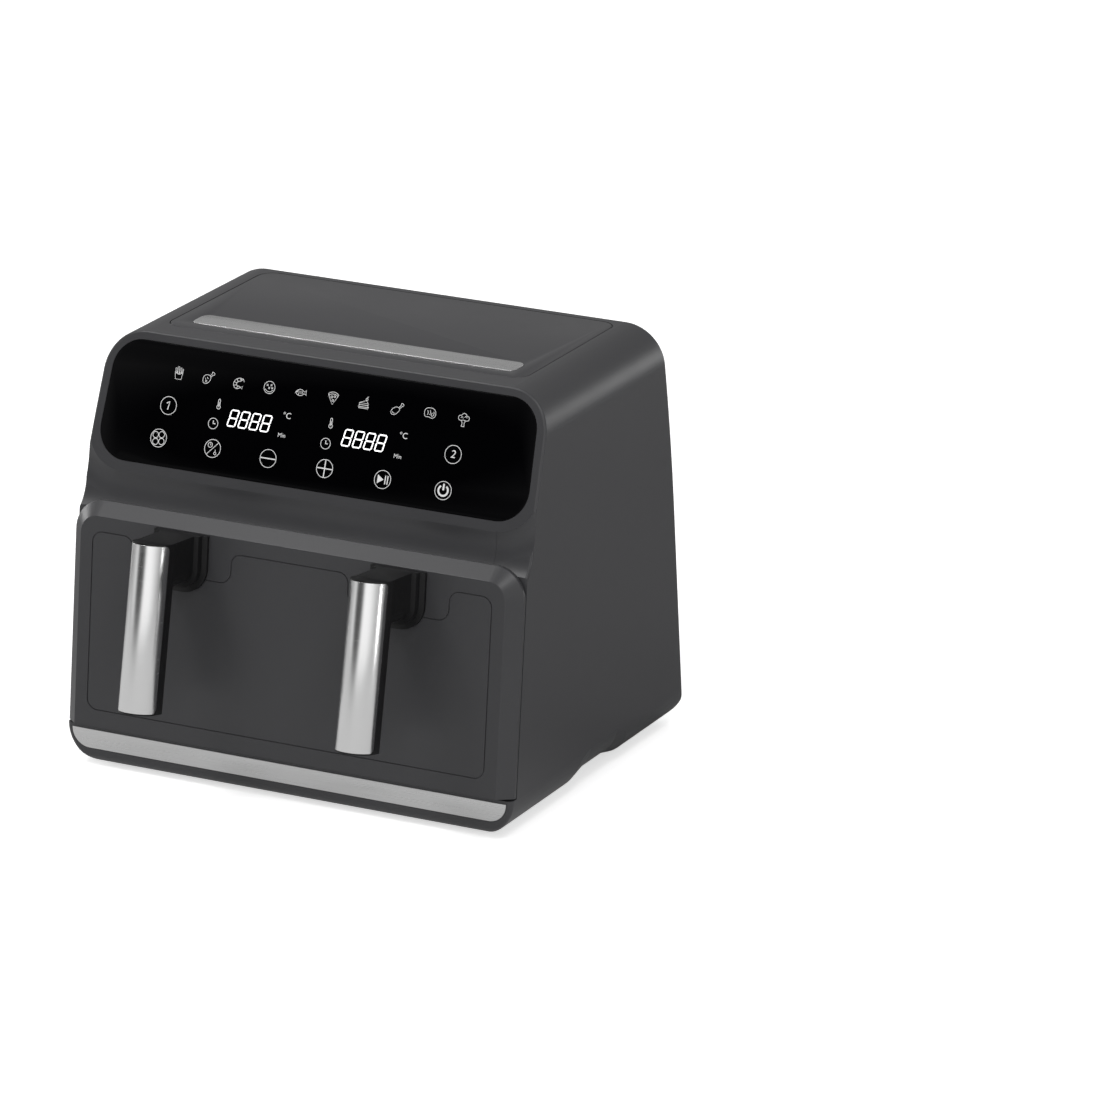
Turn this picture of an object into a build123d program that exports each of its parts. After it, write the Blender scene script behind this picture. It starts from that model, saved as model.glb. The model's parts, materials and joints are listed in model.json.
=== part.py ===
"""Twin-zone air fryer: one wide drawer with two handles in a moulded body.

Units are millimetres. X runs to the right, Y to the back and Z up. The front
faces -Y, the feet stand on Z = 0 and the drawer is closed.
"""

import os
from math import cos, radians, sin, tan

from build123d import *

os.makedirs("parts", exist_ok=True)

SIDES = {"left": -1, "right": 1}

# Body outline seen from the front
BODY_HALF_WIDTH = 195.0
TOP_NARROWING = 4.5
TOP_HALF_WIDTH = BODY_HALF_WIDTH - TOP_NARROWING
BODY_TOP = 336.0
BASE_BOTTOM = 2.0
SIDE_BOW_HEIGHT = 156.0
SIDE_STRAIGHT_TOP = BODY_TOP - SIDE_BOW_HEIGHT
TOP_CORNER_RADIUS = 33.0
BASE_CORNER_RADIUS = 30.0
EDGE_ROUND = 2.0
WALL = 3.0
TOP_WALL = 6.0
BEZEL_WALL = 6.0

# Body outline seen from the side
DRAWER_FACE_Y = -118.4
DRAWER_FACE_Z = 35.5
APRON_SETBACK = 6.4
APRON_FRONT = DRAWER_FACE_Y + APRON_SETBACK
APRON_WALL = 5.0
LEDGE_GAP = 2.5
LEDGE_HEIGHT = DRAWER_FACE_Z - LEDGE_GAP
APRON_ROUND = 12.0
APRON_EDGE_ROUND = 4.0
BASE_REAR_ROUND = 20.0
REAR_FOOT = 187.5
REAR_TILT = 5.6
REAR_TOP_ROUND = 6.0
NOTCH_FRONT = -5.0
NOTCH_LENGTH = 97.0
NOTCH_SLOPE = 26.0
NOTCH_DEPTH = 5.5
NOTCH_RUNOUT = 0.5
NOTCH_SIDE_GAP = 0.4
CHIN_SETBACK = 41.4
CHIN_Y = DRAWER_FACE_Y + CHIN_SETBACK
BEZEL_DROP = 102.5
CHIN_Z = BODY_TOP - BEZEL_DROP
CHIN_ROUND = 3.0
CHIN_INNER_RISE = 4.0
CHIN_CORNER = 31.0
CHIN_CUT_REACH = 40.0
CHIN_CUT_SINK = 0.2
PANEL_TILT = 20.5
NECK_Y = CHIN_Y
NECK_DROP = 14.0
NECK_Z = CHIN_Z - NECK_DROP
NECK_LENGTH = 29.5
NECK_LOW = CHIN_Z - NECK_LENGTH

# Drawer front, measured along its leaning face
DRAWER_TILT = 6.15
DRAWER_TOP_DROP = 21.0
DRAWER_TOP = CHIN_Z - DRAWER_TOP_DROP
DRAWER_HEIGHT = (DRAWER_TOP - DRAWER_FACE_Z) / cos(radians(DRAWER_TILT))
DRAWER_CHAMFER = 10.5
DRAWER_EDGE = 3.0
DRAWER_SOFT = 1.2
DRAWER_CORNER = 25.0
DRAWER_SKIN = 4.0
DRAWER_RIM = 16.0
SEAT_GAP = 1.2
OUTLINE_SIDE = 21.0
OUTLINE_BOTTOM = 13.5
OUTLINE_TOP = 22.0
OUTLINE_RADIUS = 9.0
OUTLINE_WIDTH = 0.9
OUTLINE_DEPTH = 0.8
OUTLINE_DIP = 24.0
OUTLINE_DIP_HALF = 43.0

# Control panel, measured up its leaning face from the chin
GLASS_BOTTOM = 8.0
GLASS_HEIGHT = 94.5
GLASS_SIDE_BORDER = 7.8
GLASS_BOTTOM_HALF = BODY_HALF_WIDTH - GLASS_SIDE_BORDER
GLASS_NARROWING = 4.2
GLASS_TOP_HALF = GLASS_BOTTOM_HALF - GLASS_NARROWING
GLASS_CORNER = 25.0
GLASS_THICKNESS = 3.0
GLASS_GAP = 0.3
GLASS_LEDGE = 6.0
DISPLAY_SIDE_GAP = 23.0
DISPLAY_HALF_WIDTH = GLASS_TOP_HALF - DISPLAY_SIDE_GAP
DISPLAY_HEIGHT = 76.0
DISPLAY_THICKNESS = 5.0
DISPLAY_STEP = 6.0
DIGIT_SPACING = 99.8
DIGIT_CENTRE_X = -8.2
DIGIT_CENTRE_V = 52.8
DIGIT_WINDOW_WIDTH = 44.0
DIGIT_WINDOW_HEIGHT = 24.0
DIGIT_FIT = 1.0
DIGIT_THICKNESS = 4.0
KEY_ROW_V = 27.0
KEY_COUNT = 6
KEY_SPACING = 49.7
KEY_ROW_X = -10.0
KEY_BORE = 6.0
ICON_ROW_V = 80.6
ICON_COUNT = 10
ICON_SPACING = 27.5
ICON_ROW_X = -1.7
ICON_BORE = 5.0
BOARD_THICKNESS = 1.6
BOARD_MARGIN = 6.0

# Top panel and its metal strip
TOP_PANEL_SIDE_BORDER = 34.7
TOP_PANEL_HALF_WIDTH = TOP_HALF_WIDTH - TOP_PANEL_SIDE_BORDER
TOP_PANEL_FRONT_BORDER = 21.0
TOP_PANEL_REAR_BORDER = 11.4
TOP_PANEL_CORNER = 13.0
TOP_PANEL_THICKNESS = 3.0
TOP_PANEL_GAP = 0.7
TOP_PANEL_LEDGE = 8.0
TOP_STRIP_SIDE_GAP = 15.3
TOP_STRIP_HALF_WIDTH = TOP_PANEL_HALF_WIDTH - TOP_STRIP_SIDE_GAP
TOP_STRIP_FRONT_GAP = 14.0
TOP_STRIP_DEPTH = 23.2
TOP_STRIP_CORNER = 7.0
STRIP_THICKNESS = 0.8
STRIP_PROUD = 0.2
STRIP_GAP = 0.3

# Base tray, its metal strip and feet
FLOOR_THICKNESS = 3.0
TRAY_SIDE = 22.5
BASE_STRIP_TOP_GAP = 2.7
BASE_STRIP_HEIGHT = 15.6
BASE_STRIP_BOTTOM = LEDGE_HEIGHT - BASE_STRIP_TOP_GAP - BASE_STRIP_HEIGHT
BASE_STRIP_SIDE_GAP = 5.0
BASE_STRIP_TOP_HALF = BODY_HALF_WIDTH - BASE_STRIP_SIDE_GAP
BASE_STRIP_CORNER = 15.0
UNDER_RECESS_FRONT_GAP = 50.0
UNDER_RECESS_FRONT = APRON_FRONT + UNDER_RECESS_FRONT_GAP
UNDER_RECESS_REAR_GAP = 57.5
UNDER_RECESS_DEPTH = REAR_FOOT - UNDER_RECESS_REAR_GAP - UNDER_RECESS_FRONT
UNDER_RECESS_CORNER = 10.0
FOOT_RADIUS = 11.0
FOOT_SOCKET = 1.5
FOOT_ROUND = 0.8
FOOT_SIDE_INSET = 47.0
FOOT_X = BODY_HALF_WIDTH - FOOT_SIDE_INSET
FOOT_FRONT_INSET = 30.0
FOOT_FRONT_Y = APRON_FRONT + FOOT_FRONT_INSET
FOOT_REAR_INSET = 39.5
FOOT_REAR_Y = REAR_FOOT - FOOT_REAR_INSET
UNDER_RECESS_SIDE_GAP = 20.0
UNDER_RECESS_HALF_WIDTH = FOOT_X - UNDER_RECESS_SIDE_GAP
FLOOR_SLOT_LENGTH = 60.0
FLOOR_SLOT_WIDTH = 4.0
FLOOR_SLOT_PITCH = 9.0
FLOOR_SLOT_COUNT = 8
FLOOR_SLOT_X = 60.0
FLOOR_SLOT_Y = 40.0
POST_RADIUS = 6.5
POST_SIDE_INSET = 70.0
POST_FRONT_INSET = 30.0
POST_REAR_INSET = 34.0
SCREW_RADIUS = 1.75
SCREW_HEAD_RADIUS = 3.5
SCREW_HEAD_HEIGHT = 2.4
SCREW_GAP = 0.2
BASE_SCREW_LENGTH = 14.0

# Rear cover, measured up the leaning rear wall
COVER_SIDE_BORDER = 27.0
COVER_HALF_WIDTH = BODY_HALF_WIDTH - COVER_SIDE_BORDER
COVER_BOTTOM = 46.0
COVER_TOP_BORDER = 32.0
COVER_HEIGHT = BODY_TOP - COVER_TOP_BORDER - COVER_BOTTOM
COVER_CORNER = 14.0
COVER_THICKNESS = 3.0
COVER_ROUND = 1.2
COVER_LAP = 12.0
LOUVRE_LENGTH = 70.0
LOUVRE_WIDTH = 5.0
LOUVRE_PITCH = 11.0
LOUVRE_COUNT = 9
LOUVRE_X = 88.0
LOUVRE_RISE = 15.0
GLAND_SIDE_INSET = 48.0
GLAND_X = COVER_HALF_WIDTH - GLAND_SIDE_INSET
GLAND_V = 78.0
GLAND_RADIUS = 8.0
GLAND_BORE_RADIUS = 3.7
GLAND_FLANGE_RADIUS = 11.0
GLAND_FLANGE = 3.0
GLAND_REACH = 9.0
COVER_SCREW_INSET = 7.0
COVER_SCREW_LENGTH = 9.0
POWER_BOARD_HALF_WIDTH = 62.0
POWER_BOARD_HEIGHT = 78.0
POWER_BOARD_TOP_GAP = 52.0
STANDOFF_RADIUS = 3.5
STANDOFF_LENGTH = 16.0
STANDOFF_INSET = 6.0

# Oven cavity
SHEET = 1.0
LINER_SIDE_GAP = 13.0
LINER_HALF_WIDTH = BODY_HALF_WIDTH - LINER_SIDE_GAP
LINER_FLOOR_RISE = 27.0
LINER_FLOOR = LEDGE_HEIGHT + LINER_FLOOR_RISE
LINER_TOP_GAP = 4.0
LINER_CEILING = NECK_LOW - LINER_TOP_GAP
LINER_REAR_GAP = 37.5
LINER_BACK = REAR_FOOT - LINER_REAR_GAP
LINER_FLANGE = 5.0
OPENING_INSET = 1.0
RAIL_WIDTH = 9.0
RAIL_HEIGHT = 5.0
RAIL_FRONT_GAP = 4.0
RAIL_REAR_GAP = 4.0
RAIL_POT_GAP = 4.0
SLIDE_GAP = 0.4

# Drawer pot, carried behind the drawer front
POT_HALF_WIDTH = LINER_HALF_WIDTH - RAIL_WIDTH - RAIL_POT_GAP
POT_SETBACK = 40.4
POT_FRONT = DRAWER_FACE_Y + POT_SETBACK
POT_REAR_GAP = 7.0
POT_BACK = LINER_BACK - POT_REAR_GAP
POT_TOP_GAP = 8.0
POT_TOP = LINER_CEILING - POT_TOP_GAP
POT_FLOOR_GAP = 8.0
POT_HEIGHT = POT_TOP - LINER_FLOOR - POT_FLOOR_GAP
POT_WALL = 1.5
POT_DRAFT = 2.0
POT_CORNER = 42.0
POT_FLOOR_ROUND = 9.0
POT_RIM_WIDTH = 5.0
POT_RIM_HEIGHT = 3.0
POT_RIM_ROUND = 1.2
CARRIER_SIDE_GAP = 6.0
CARRIER_TOP_GAP = 5.0
CARRIER_BOTTOM_GAP = 5.0
CARRIER_LAP = 6.0
CARRIER_WALL = 4.0

# Heaters, fans and motors, one set over each half of the drawer
UNIT_SHIFT = 3.0
UNIT_X = LINER_HALF_WIDTH / 2 - UNIT_SHIFT
UNIT_REAR_SHIFT = 1.5
UNIT_Y = (POT_FRONT + POT_BACK) / 2 + UNIT_REAR_SHIFT
DISH_MIDDLE_GAP = 10.0
DISH_RADIUS = UNIT_X - DISH_MIDDLE_GAP
DISH_HEIGHT = 35.0
DISH_FLANGE = 6.0
GUARD_LEDGE = 4.0
GUARD_GAP = 0.5
GUARD_THICKNESS = 1.5
GUARD_RING_WIDTH = 3.0
GUARD_RING_PITCH = 11.0
GUARD_RING_COUNT = 6
GUARD_SPOKE_COUNT = 6
GUARD_SPOKE_WIDTH = 4.0
COIL_RISE = 7.0
COIL_RADIUS = 3.2
COIL_EDGE_GAP = 10.0
COIL_PITCH = 14.0
COIL_OUTER_RADIUS = DISH_RADIUS - COIL_EDGE_GAP
COIL_INNER_RADIUS = COIL_OUTER_RADIUS - COIL_PITCH
COIL_GAP_ANGLE = 40.0
COIL_TAIL_RISE = 8.0
COIL_HOLE_GAP = 0.2
SHAFT_RADIUS = 4.0
SHAFT_RUN_GAP = 0.08
SHAFT_HOLE_GAP = 2.0
FAN_RISE = 14.5
FAN_COIL_GAP = 3.8
FAN_RADIUS = COIL_INNER_RADIUS - COIL_RADIUS - FAN_COIL_GAP
FAN_HEIGHT = 13.0
FAN_DISC = 1.2
FAN_HUB_RADIUS = 9.0
FAN_BLADES = 8
BLADE_THICKNESS = 1.2
BLADE_INNER_RADIUS = 18.0
BRACKET_RISE = 12.0
BRACKET_LENGTH = 92.0
BRACKET_WIDTH = 34.0
BRACKET_SHEET = 2.0
BRACKET_FOOT = 10.0
MOTOR_RADIUS = 27.0
MOTOR_HEIGHT = 36.0
MOTOR_BOSS_RADIUS = 9.0
MOTOR_BOSS = 4.0
MOTOR_ROUND = 3.0
COOLER_GAP = 4.0
COOLER_RADIUS = 42.0
COOLER_HEIGHT = 11.0
COOLER_BLADES = 9
COOLER_BLADE_INNER_RADIUS = 14.0
SHAFT_OVERRUN = 3.0
THERMOSTAT_RADIUS = 8.0
THERMOSTAT_HEIGHT = 9.0
THERMOSTAT_OFFSET = 52.0
TAB_WIDTH = 5.0
TAB_THICKNESS = 0.8
TAB_HEIGHT = 8.0

# Divider and its guides
DIVIDER_THICKNESS = 2.4
DIVIDER_GAP = 1.3
DIVIDER_SLOT_GAP = 0.4
DIVIDER_FLOOR_GAP = 0.3
DIVIDER_TOP_DROP = 1.0
DIVIDER_HEM_WIDTH = 4.0
DIVIDER_HEM_HEIGHT = 6.0
DIVIDER_CORNER_CUT = 14.0
GUIDE_WIDTH = 20.0
GUIDE_PLATE = 1.2
GUIDE_RIB = 2.0
GUIDE_DEPTH = 6.0
GUIDE_TOP_GAP = 9.0
GUIDE_BOTTOM_GAP = 22.0
RIVET_RADIUS = 2.0
RIVET_SHANK = 1.2
RIVET_X = 7.0
RIVET_HEAD = 1.0
RIVET_DROP = 8.0

# Crisper plates
PLATE_EDGE_GAP = 9.0
PLATE_INNER_EDGE = 11.5
PLATE_FLOOR_GAP = 0.3
PLATE_THICKNESS = 1.6
PLATE_SKIRT = 10.0
PLATE_ROUND = 0.8
PLATE_CORNER = 30.0
PLATE_INNER_CORNER = 6.0
PLATE_HOLE_RADIUS = 4.0
PLATE_HOLE_PITCH = 19.5
PLATE_HOLE_COLUMNS = 7
PLATE_HOLE_ROWS = 9
BUMPER_LENGTH = 14.0
BUMPER_HEIGHT = 6.0
BUMPER_RISE = 2.0
BUMPER_GAP = 0.6
BUMPER_SPACING = 110.0

# Handles
HANDLE_SIDE_INSET = 100.7
HANDLE_X = BODY_HALF_WIDTH - HANDLE_SIDE_INSET
HANDLE_TILT = 11.8
HANDLE_STANDOFF = 28.0
HANDLE_TOP_Y = DRAWER_FACE_Y - HANDLE_STANDOFF
HANDLE_TOP_DROP = 6.0
HANDLE_TOP_Z = DRAWER_TOP - HANDLE_TOP_DROP
HANDLE_LENGTH = 132.0
COVER_RADIUS = 15.4
COVER_SHEET = 1.0
COVER_END = 1.2
COVER_CORNER_ROUND = 5.0
GRIP_BACK = 15.0
GRIP_ROUND = 7.0
ARM_HALF_WIDTH = 15.0
ARM_TOP_GAP = 11.5
ARM_TOP = DRAWER_HEIGHT - ARM_TOP_GAP
ARM_HEIGHT = 38.0
ARM_ROUND = 12.0
ARM_REACH = 44.0
RIM_MARGIN = 4.0
RIM_THICKNESS = 9.0
COLLAR_MARGIN = 8.5
COLLAR_THICKNESS = 3.0
ARM_STEPS = [(COLLAR_MARGIN, COLLAR_THICKNESS), (RIM_MARGIN, RIM_THICKNESS), (0.0, ARM_REACH)]
GUSSET_RISE = 8.0
GUSSET_LENGTH = 20.0
GUSSET_REACH = 40.0
GUSSET_DROP = 14.0
GUSSET_HALF_WIDTH = 12.0
GUSSET_SAG = 6.0
HANDLE_SCREW_LENGTH = 16.0
HANDLE_SCREW_PITCH = 22.0

# Drawer switch
SWITCH_X = 96.0
SWITCH_WIDTH = 20.0
SWITCH_DEPTH = 10.0
SWITCH_HEIGHT = 14.0
PLUNGER_RADIUS = 2.0
PLUNGER_GAP = 0.3
PLUNGER_TRAVEL = 1.5
PLUNGER_RUN_GAP = 0.3

REACH = 400.0
PICK_MARGIN = 1.0


def lean(up, out):
    """Y and Z of a point on the leaning drawer front."""
    tilt = radians(DRAWER_TILT)
    y = DRAWER_FACE_Y + up * sin(tilt) - out * cos(tilt)
    z = DRAWER_FACE_Z + up * cos(tilt) + out * sin(tilt)
    return (y, z)


def lean_at(z, out):
    """Y and Z of the point at height z on a plane of the drawer front."""
    tilt = radians(DRAWER_TILT)
    up = (z - DRAWER_FACE_Z - out * sin(tilt)) / cos(tilt)
    return lean(up, out)


def rear_y(z, depth):
    """Y of the rear wall at height z, moved in by depth."""
    tilt = radians(REAR_TILT)
    return REAR_FOOT - (z - BASE_BOTTOM) * tan(tilt) - depth / cos(tilt)


def bezel_y(z, depth):
    """Y of the control panel at height z, moved in by depth."""
    tilt = radians(PANEL_TILT)
    return CHIN_Y + (z - CHIN_Z) * tan(tilt) + depth / cos(tilt)


def pot_wall_y(z, inset, end):
    """Y of the pot's front or back wall at height z, moved in by inset."""
    draft = (POT_TOP - z) * tan(radians(POT_DRAFT))
    return POT_BACK - inset - draft if end > 0 else POT_FRONT + inset + draft


def leaning_plane(y, z, tilt):
    """Plane facing the front, leaning back by tilt, with its own Y going up."""
    return Plane(
        origin=(0, y, z),
        x_dir=(1, 0, 0),
        z_dir=(0, -cos(radians(tilt)), sin(radians(tilt))),
    )


DRAWER_PLANE = leaning_plane(DRAWER_FACE_Y, DRAWER_FACE_Z, DRAWER_TILT)
PANEL_PLANE = leaning_plane(CHIN_Y, CHIN_Z, PANEL_TILT)
REAR_PLANE = Plane(
    origin=(0, REAR_FOOT, BASE_BOTTOM),
    x_dir=(-1, 0, 0),
    z_dir=(0, cos(radians(REAR_TILT)), sin(radians(REAR_TILT))),
)
DRAWER_BACK = -(DRAWER_CHAMFER + DRAWER_EDGE)
SEAT = DRAWER_BACK - SEAT_GAP
FLOOR_TOP = BASE_BOTTOM + NOTCH_DEPTH + FLOOR_THICKNESS
ARCH_STEPS = [
    (NOTCH_FRONT, -NOTCH_RUNOUT),
    (NOTCH_FRONT + NOTCH_SLOPE, NOTCH_DEPTH),
    (NOTCH_FRONT + NOTCH_LENGTH - NOTCH_SLOPE, NOTCH_DEPTH),
    (NOTCH_FRONT + NOTCH_LENGTH, -NOTCH_RUNOUT),
]
STRIP_SEAT = STRIP_THICKNESS - STRIP_PROUD
BEZEL_TOP_Y = bezel_y(BODY_TOP, 0)
TOP_PANEL_FRONT = BEZEL_TOP_Y + TOP_PANEL_FRONT_BORDER
TOP_PANEL_DEPTH = rear_y(BODY_TOP, 0) - TOP_PANEL_REAR_BORDER - TOP_PANEL_FRONT
TOP_STRIP_FRONT = TOP_PANEL_FRONT + TOP_STRIP_FRONT_GAP
POST_X = LINER_HALF_WIDTH - POST_SIDE_INSET
POST_FRONT_Y = POT_FRONT + POST_FRONT_INSET
POST_REAR_Y = LINER_BACK - POST_REAR_INSET
POST_PLACES = [(x, y) for x in (-POST_X, POST_X) for y in (POST_FRONT_Y, POST_REAR_Y)]
FOOT_PLACES = [(x, y) for x in (-FOOT_X, FOOT_X) for y in (FOOT_FRONT_Y, FOOT_REAR_Y)]
COVER_MIDDLE = COVER_BOTTOM + COVER_HEIGHT / 2
LOUVRE_V = COVER_MIDDLE + LOUVRE_RISE
POWER_BOARD_V = COVER_BOTTOM + COVER_HEIGHT - POWER_BOARD_TOP_GAP
COVER_SCREW_SPAN = COVER_HALF_WIDTH - COVER_SCREW_INSET
COVER_SCREW_RISE = COVER_HEIGHT - 2 * COVER_SCREW_INSET
GLASS_MIDDLE = GLASS_BOTTOM + GLASS_HEIGHT / 2
ARM_MIDDLE = ARM_TOP - ARM_HEIGHT / 2

# Solid form of the whole body, before it is split into mouldings
with BuildPart() as body_form:
    with BuildSketch(Plane.XZ) as front_outline:
        with BuildLine():
            floor_line = Line((0, BASE_BOTTOM), (BODY_HALF_WIDTH, BASE_BOTTOM))
            side_line = Line(floor_line @ 1, (BODY_HALF_WIDTH, SIDE_STRAIGHT_TOP))
            bow = TangentArc(side_line @ 1, (TOP_HALF_WIDTH, BODY_TOP), tangent=(0, 1))
            Line(bow @ 1, (0, BODY_TOP))
            mirror(about=Plane.YZ)
        make_face()
        corners = front_outline.vertices().filter_by(lambda v: abs(v.X) > PICK_MARGIN)
        fillet(corners.group_by(Axis.Y)[-1], TOP_CORNER_RADIUS)
        corners = front_outline.vertices().filter_by(lambda v: abs(v.X) > PICK_MARGIN)
        fillet(corners.group_by(Axis.Y)[0], BASE_CORNER_RADIUS)
    extrude(amount=REACH, both=True)
    with BuildSketch(Plane.YZ) as side_outline:
        with BuildLine():
            chin = (CHIN_Y, CHIN_Z)
            neck_end = lean_at(NECK_LOW, SEAT)
            bezel = Line((BEZEL_TOP_Y, BODY_TOP), chin)
            ThreePointArc(chin, (NECK_Y, NECK_Z), neck_end)
            Polyline(
                neck_end,
                lean_at(LEDGE_HEIGHT, SEAT),
                (APRON_FRONT, LEDGE_HEIGHT),
                (APRON_FRONT, BASE_BOTTOM),
                (REAR_FOOT, BASE_BOTTOM),
                (rear_y(BODY_TOP, 0), BODY_TOP),
                bezel @ 0,
            )
        make_face()
        fillet(side_outline.vertices().sort_by_distance(chin)[0], CHIN_ROUND)
        fillet(side_outline.vertices().sort_by_distance((APRON_FRONT, BASE_BOTTOM))[0], APRON_ROUND)
        fillet(side_outline.vertices().sort_by_distance((REAR_FOOT, BASE_BOTTOM))[0], BASE_REAR_ROUND)
    extrude(amount=REACH, both=True, mode=Mode.INTERSECT)
    front_edges = body_form.edges().filter_by(
        lambda e: e.center().Z > NECK_LOW + PICK_MARGIN and e.center().Y < BEZEL_TOP_Y + PICK_MARGIN
    )
    front_edges = front_edges.filter_by(
        lambda e: abs(e.center().X) > PICK_MARGIN or e.center().Z > BODY_TOP - PICK_MARGIN
    )
    fillet(front_edges, EDGE_ROUND)

# Space inside the body, one wall thickness in from the outside
with BuildPart() as body_core:
    with BuildSketch(Plane.XZ) as core_outline:
        with BuildLine():
            side_line = Line((0, BASE_BOTTOM), (BODY_HALF_WIDTH - WALL, BASE_BOTTOM))
            side_line = Line(side_line @ 1, (BODY_HALF_WIDTH - WALL, SIDE_STRAIGHT_TOP))
            bow = TangentArc(
                side_line @ 1, (TOP_HALF_WIDTH - WALL, BODY_TOP - TOP_WALL), tangent=(0, 1)
            )
            Line(bow @ 1, (0, BODY_TOP - TOP_WALL))
            mirror(about=Plane.YZ)
        make_face()
        corners = core_outline.vertices().filter_by(lambda v: abs(v.X) > PICK_MARGIN)
        fillet(corners.group_by(Axis.Y)[-1], TOP_CORNER_RADIUS - WALL)
    extrude(amount=REACH, both=True)
    with BuildSketch(Plane.YZ):
        with BuildLine():
            Polyline(
                (bezel_y(BODY_TOP - TOP_WALL, BEZEL_WALL), BODY_TOP - TOP_WALL),
                (bezel_y(CHIN_Z + CHIN_INNER_RISE, BEZEL_WALL), CHIN_Z + CHIN_INNER_RISE),
                (NECK_Y + WALL, NECK_Z),
                lean_at(NECK_LOW - WALL, SEAT - WALL),
                lean_at(LEDGE_HEIGHT, SEAT - WALL),
                (rear_y(LEDGE_HEIGHT, WALL), LEDGE_HEIGHT),
                (rear_y(BODY_TOP - TOP_WALL, WALL), BODY_TOP - TOP_WALL),
                close=True,
            )
        make_face()
    extrude(amount=REACH, both=True, mode=Mode.INTERSECT)

# Upper body moulding
with BuildPart() as main_housing:
    add(body_form.part)
    with Locations((0, 0, LEDGE_HEIGHT)):
        Box(
            2 * REACH, 2 * REACH, REACH,
            align=(Align.CENTER, Align.CENTER, Align.MIN), mode=Mode.INTERSECT,
        )
    rear_edges = main_housing.edges().filter_by(
        lambda e: e.center().Y > rear_y(BODY_TOP, PICK_MARGIN)
        and e.center().Z > LEDGE_HEIGHT + PICK_MARGIN
    )
    fillet(rear_edges, REAR_TOP_ROUND)
    # the neck turns up round the lower corners of the control panel
    for sign in SIDES.values():
        corner_x = sign * (BODY_HALF_WIDTH - CHIN_CORNER)
        corner_axis = Axis(
            PANEL_PLANE.from_local_coords((corner_x, CHIN_CORNER, 0)), sign * PANEL_PLANE.z_dir
        )
        with BuildSketch(Plane.YZ.offset(corner_x)):
            with BuildLine():
                cove = ThreePointArc(
                    (CHIN_Y + CHIN_CUT_SINK, CHIN_Z),
                    (NECK_Y + CHIN_CUT_SINK, NECK_Z),
                    (neck_end[0] + CHIN_CUT_SINK, neck_end[1]),
                )
                low_edge = PolarLine(cove @ 1, CHIN_CUT_REACH, 180 - PANEL_TILT)
                high_edge = PolarLine(cove @ 0, CHIN_CUT_REACH, 180 - PANEL_TILT)
                Line(low_edge @ 1, high_edge @ 1)
            make_face()
        revolve(axis=corner_axis, revolution_arc=90, mode=Mode.SUBTRACT)
    add(body_core.part, mode=Mode.SUBTRACT)
    # pocket and window for the control glass
    with BuildSketch(PANEL_PLANE) as glass_pocket:
        with BuildLine():
            Polyline(
                (-GLASS_BOTTOM_HALF - GLASS_GAP, GLASS_BOTTOM - GLASS_GAP),
                (GLASS_BOTTOM_HALF + GLASS_GAP, GLASS_BOTTOM - GLASS_GAP),
                (GLASS_TOP_HALF + GLASS_GAP, GLASS_BOTTOM + GLASS_HEIGHT + GLASS_GAP),
                (-GLASS_TOP_HALF - GLASS_GAP, GLASS_BOTTOM + GLASS_HEIGHT + GLASS_GAP),
                close=True,
            )
        make_face()
        fillet(glass_pocket.vertices(), GLASS_CORNER + GLASS_GAP)
    extrude(amount=-GLASS_THICKNESS, mode=Mode.SUBTRACT)
    with BuildSketch(PANEL_PLANE):
        with Locations((0, GLASS_MIDDLE)):
            RectangleRounded(
                2 * (GLASS_TOP_HALF - 2 * GLASS_LEDGE), GLASS_HEIGHT - 2 * GLASS_LEDGE,
                GLASS_CORNER - GLASS_LEDGE,
            )
    extrude(amount=-2 * BEZEL_WALL, mode=Mode.SUBTRACT)
    # pocket and window for the top panel
    with BuildSketch(Plane.XY.offset(BODY_TOP)):
        with Locations((0, TOP_PANEL_FRONT + TOP_PANEL_DEPTH / 2)):
            RectangleRounded(
                2 * (TOP_PANEL_HALF_WIDTH + TOP_PANEL_GAP), TOP_PANEL_DEPTH + 2 * TOP_PANEL_GAP,
                TOP_PANEL_CORNER + TOP_PANEL_GAP,
            )
    extrude(amount=-TOP_PANEL_THICKNESS, mode=Mode.SUBTRACT)
    with BuildSketch(Plane.XY.offset(BODY_TOP)):
        with Locations((0, TOP_PANEL_FRONT + TOP_PANEL_DEPTH / 2)):
            RectangleRounded(
                2 * (TOP_PANEL_HALF_WIDTH - TOP_PANEL_LEDGE), TOP_PANEL_DEPTH - 2 * TOP_PANEL_LEDGE,
                TOP_PANEL_CORNER,
            )
    extrude(amount=-2 * TOP_WALL, mode=Mode.SUBTRACT)
    # drawer opening in the front wall
    with BuildSketch(Plane.XZ):
        with BuildLine():
            opening_half = LINER_HALF_WIDTH - OPENING_INSET
            Polyline(
                (-opening_half, LINER_FLOOR + OPENING_INSET),
                (opening_half, LINER_FLOOR + OPENING_INSET),
                (opening_half, LINER_CEILING - OPENING_INSET),
                (-opening_half, LINER_CEILING - OPENING_INSET),
                close=True,
            )
        make_face()
    extrude(amount=REACH, mode=Mode.SUBTRACT)
    # opening in the rear wall, behind the rear cover
    with BuildSketch(REAR_PLANE):
        with Locations((0, COVER_MIDDLE)):
            RectangleRounded(
                2 * (COVER_HALF_WIDTH - COVER_LAP), COVER_HEIGHT - 2 * COVER_LAP,
                COVER_CORNER - COVER_LAP,
            )
    extrude(amount=-4 * WALL, mode=Mode.SUBTRACT)
    # screw holes for the rear cover
    with BuildSketch(REAR_PLANE):
        with Locations((0, COVER_MIDDLE)):
            with GridLocations(COVER_SCREW_SPAN, COVER_SCREW_RISE, 3, 2):
                Circle(SCREW_RADIUS)
    extrude(amount=-4 * WALL, mode=Mode.SUBTRACT)
main_housing.part.label = "main_housing"
export_step(main_housing.part, "parts/main_housing.step")

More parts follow.
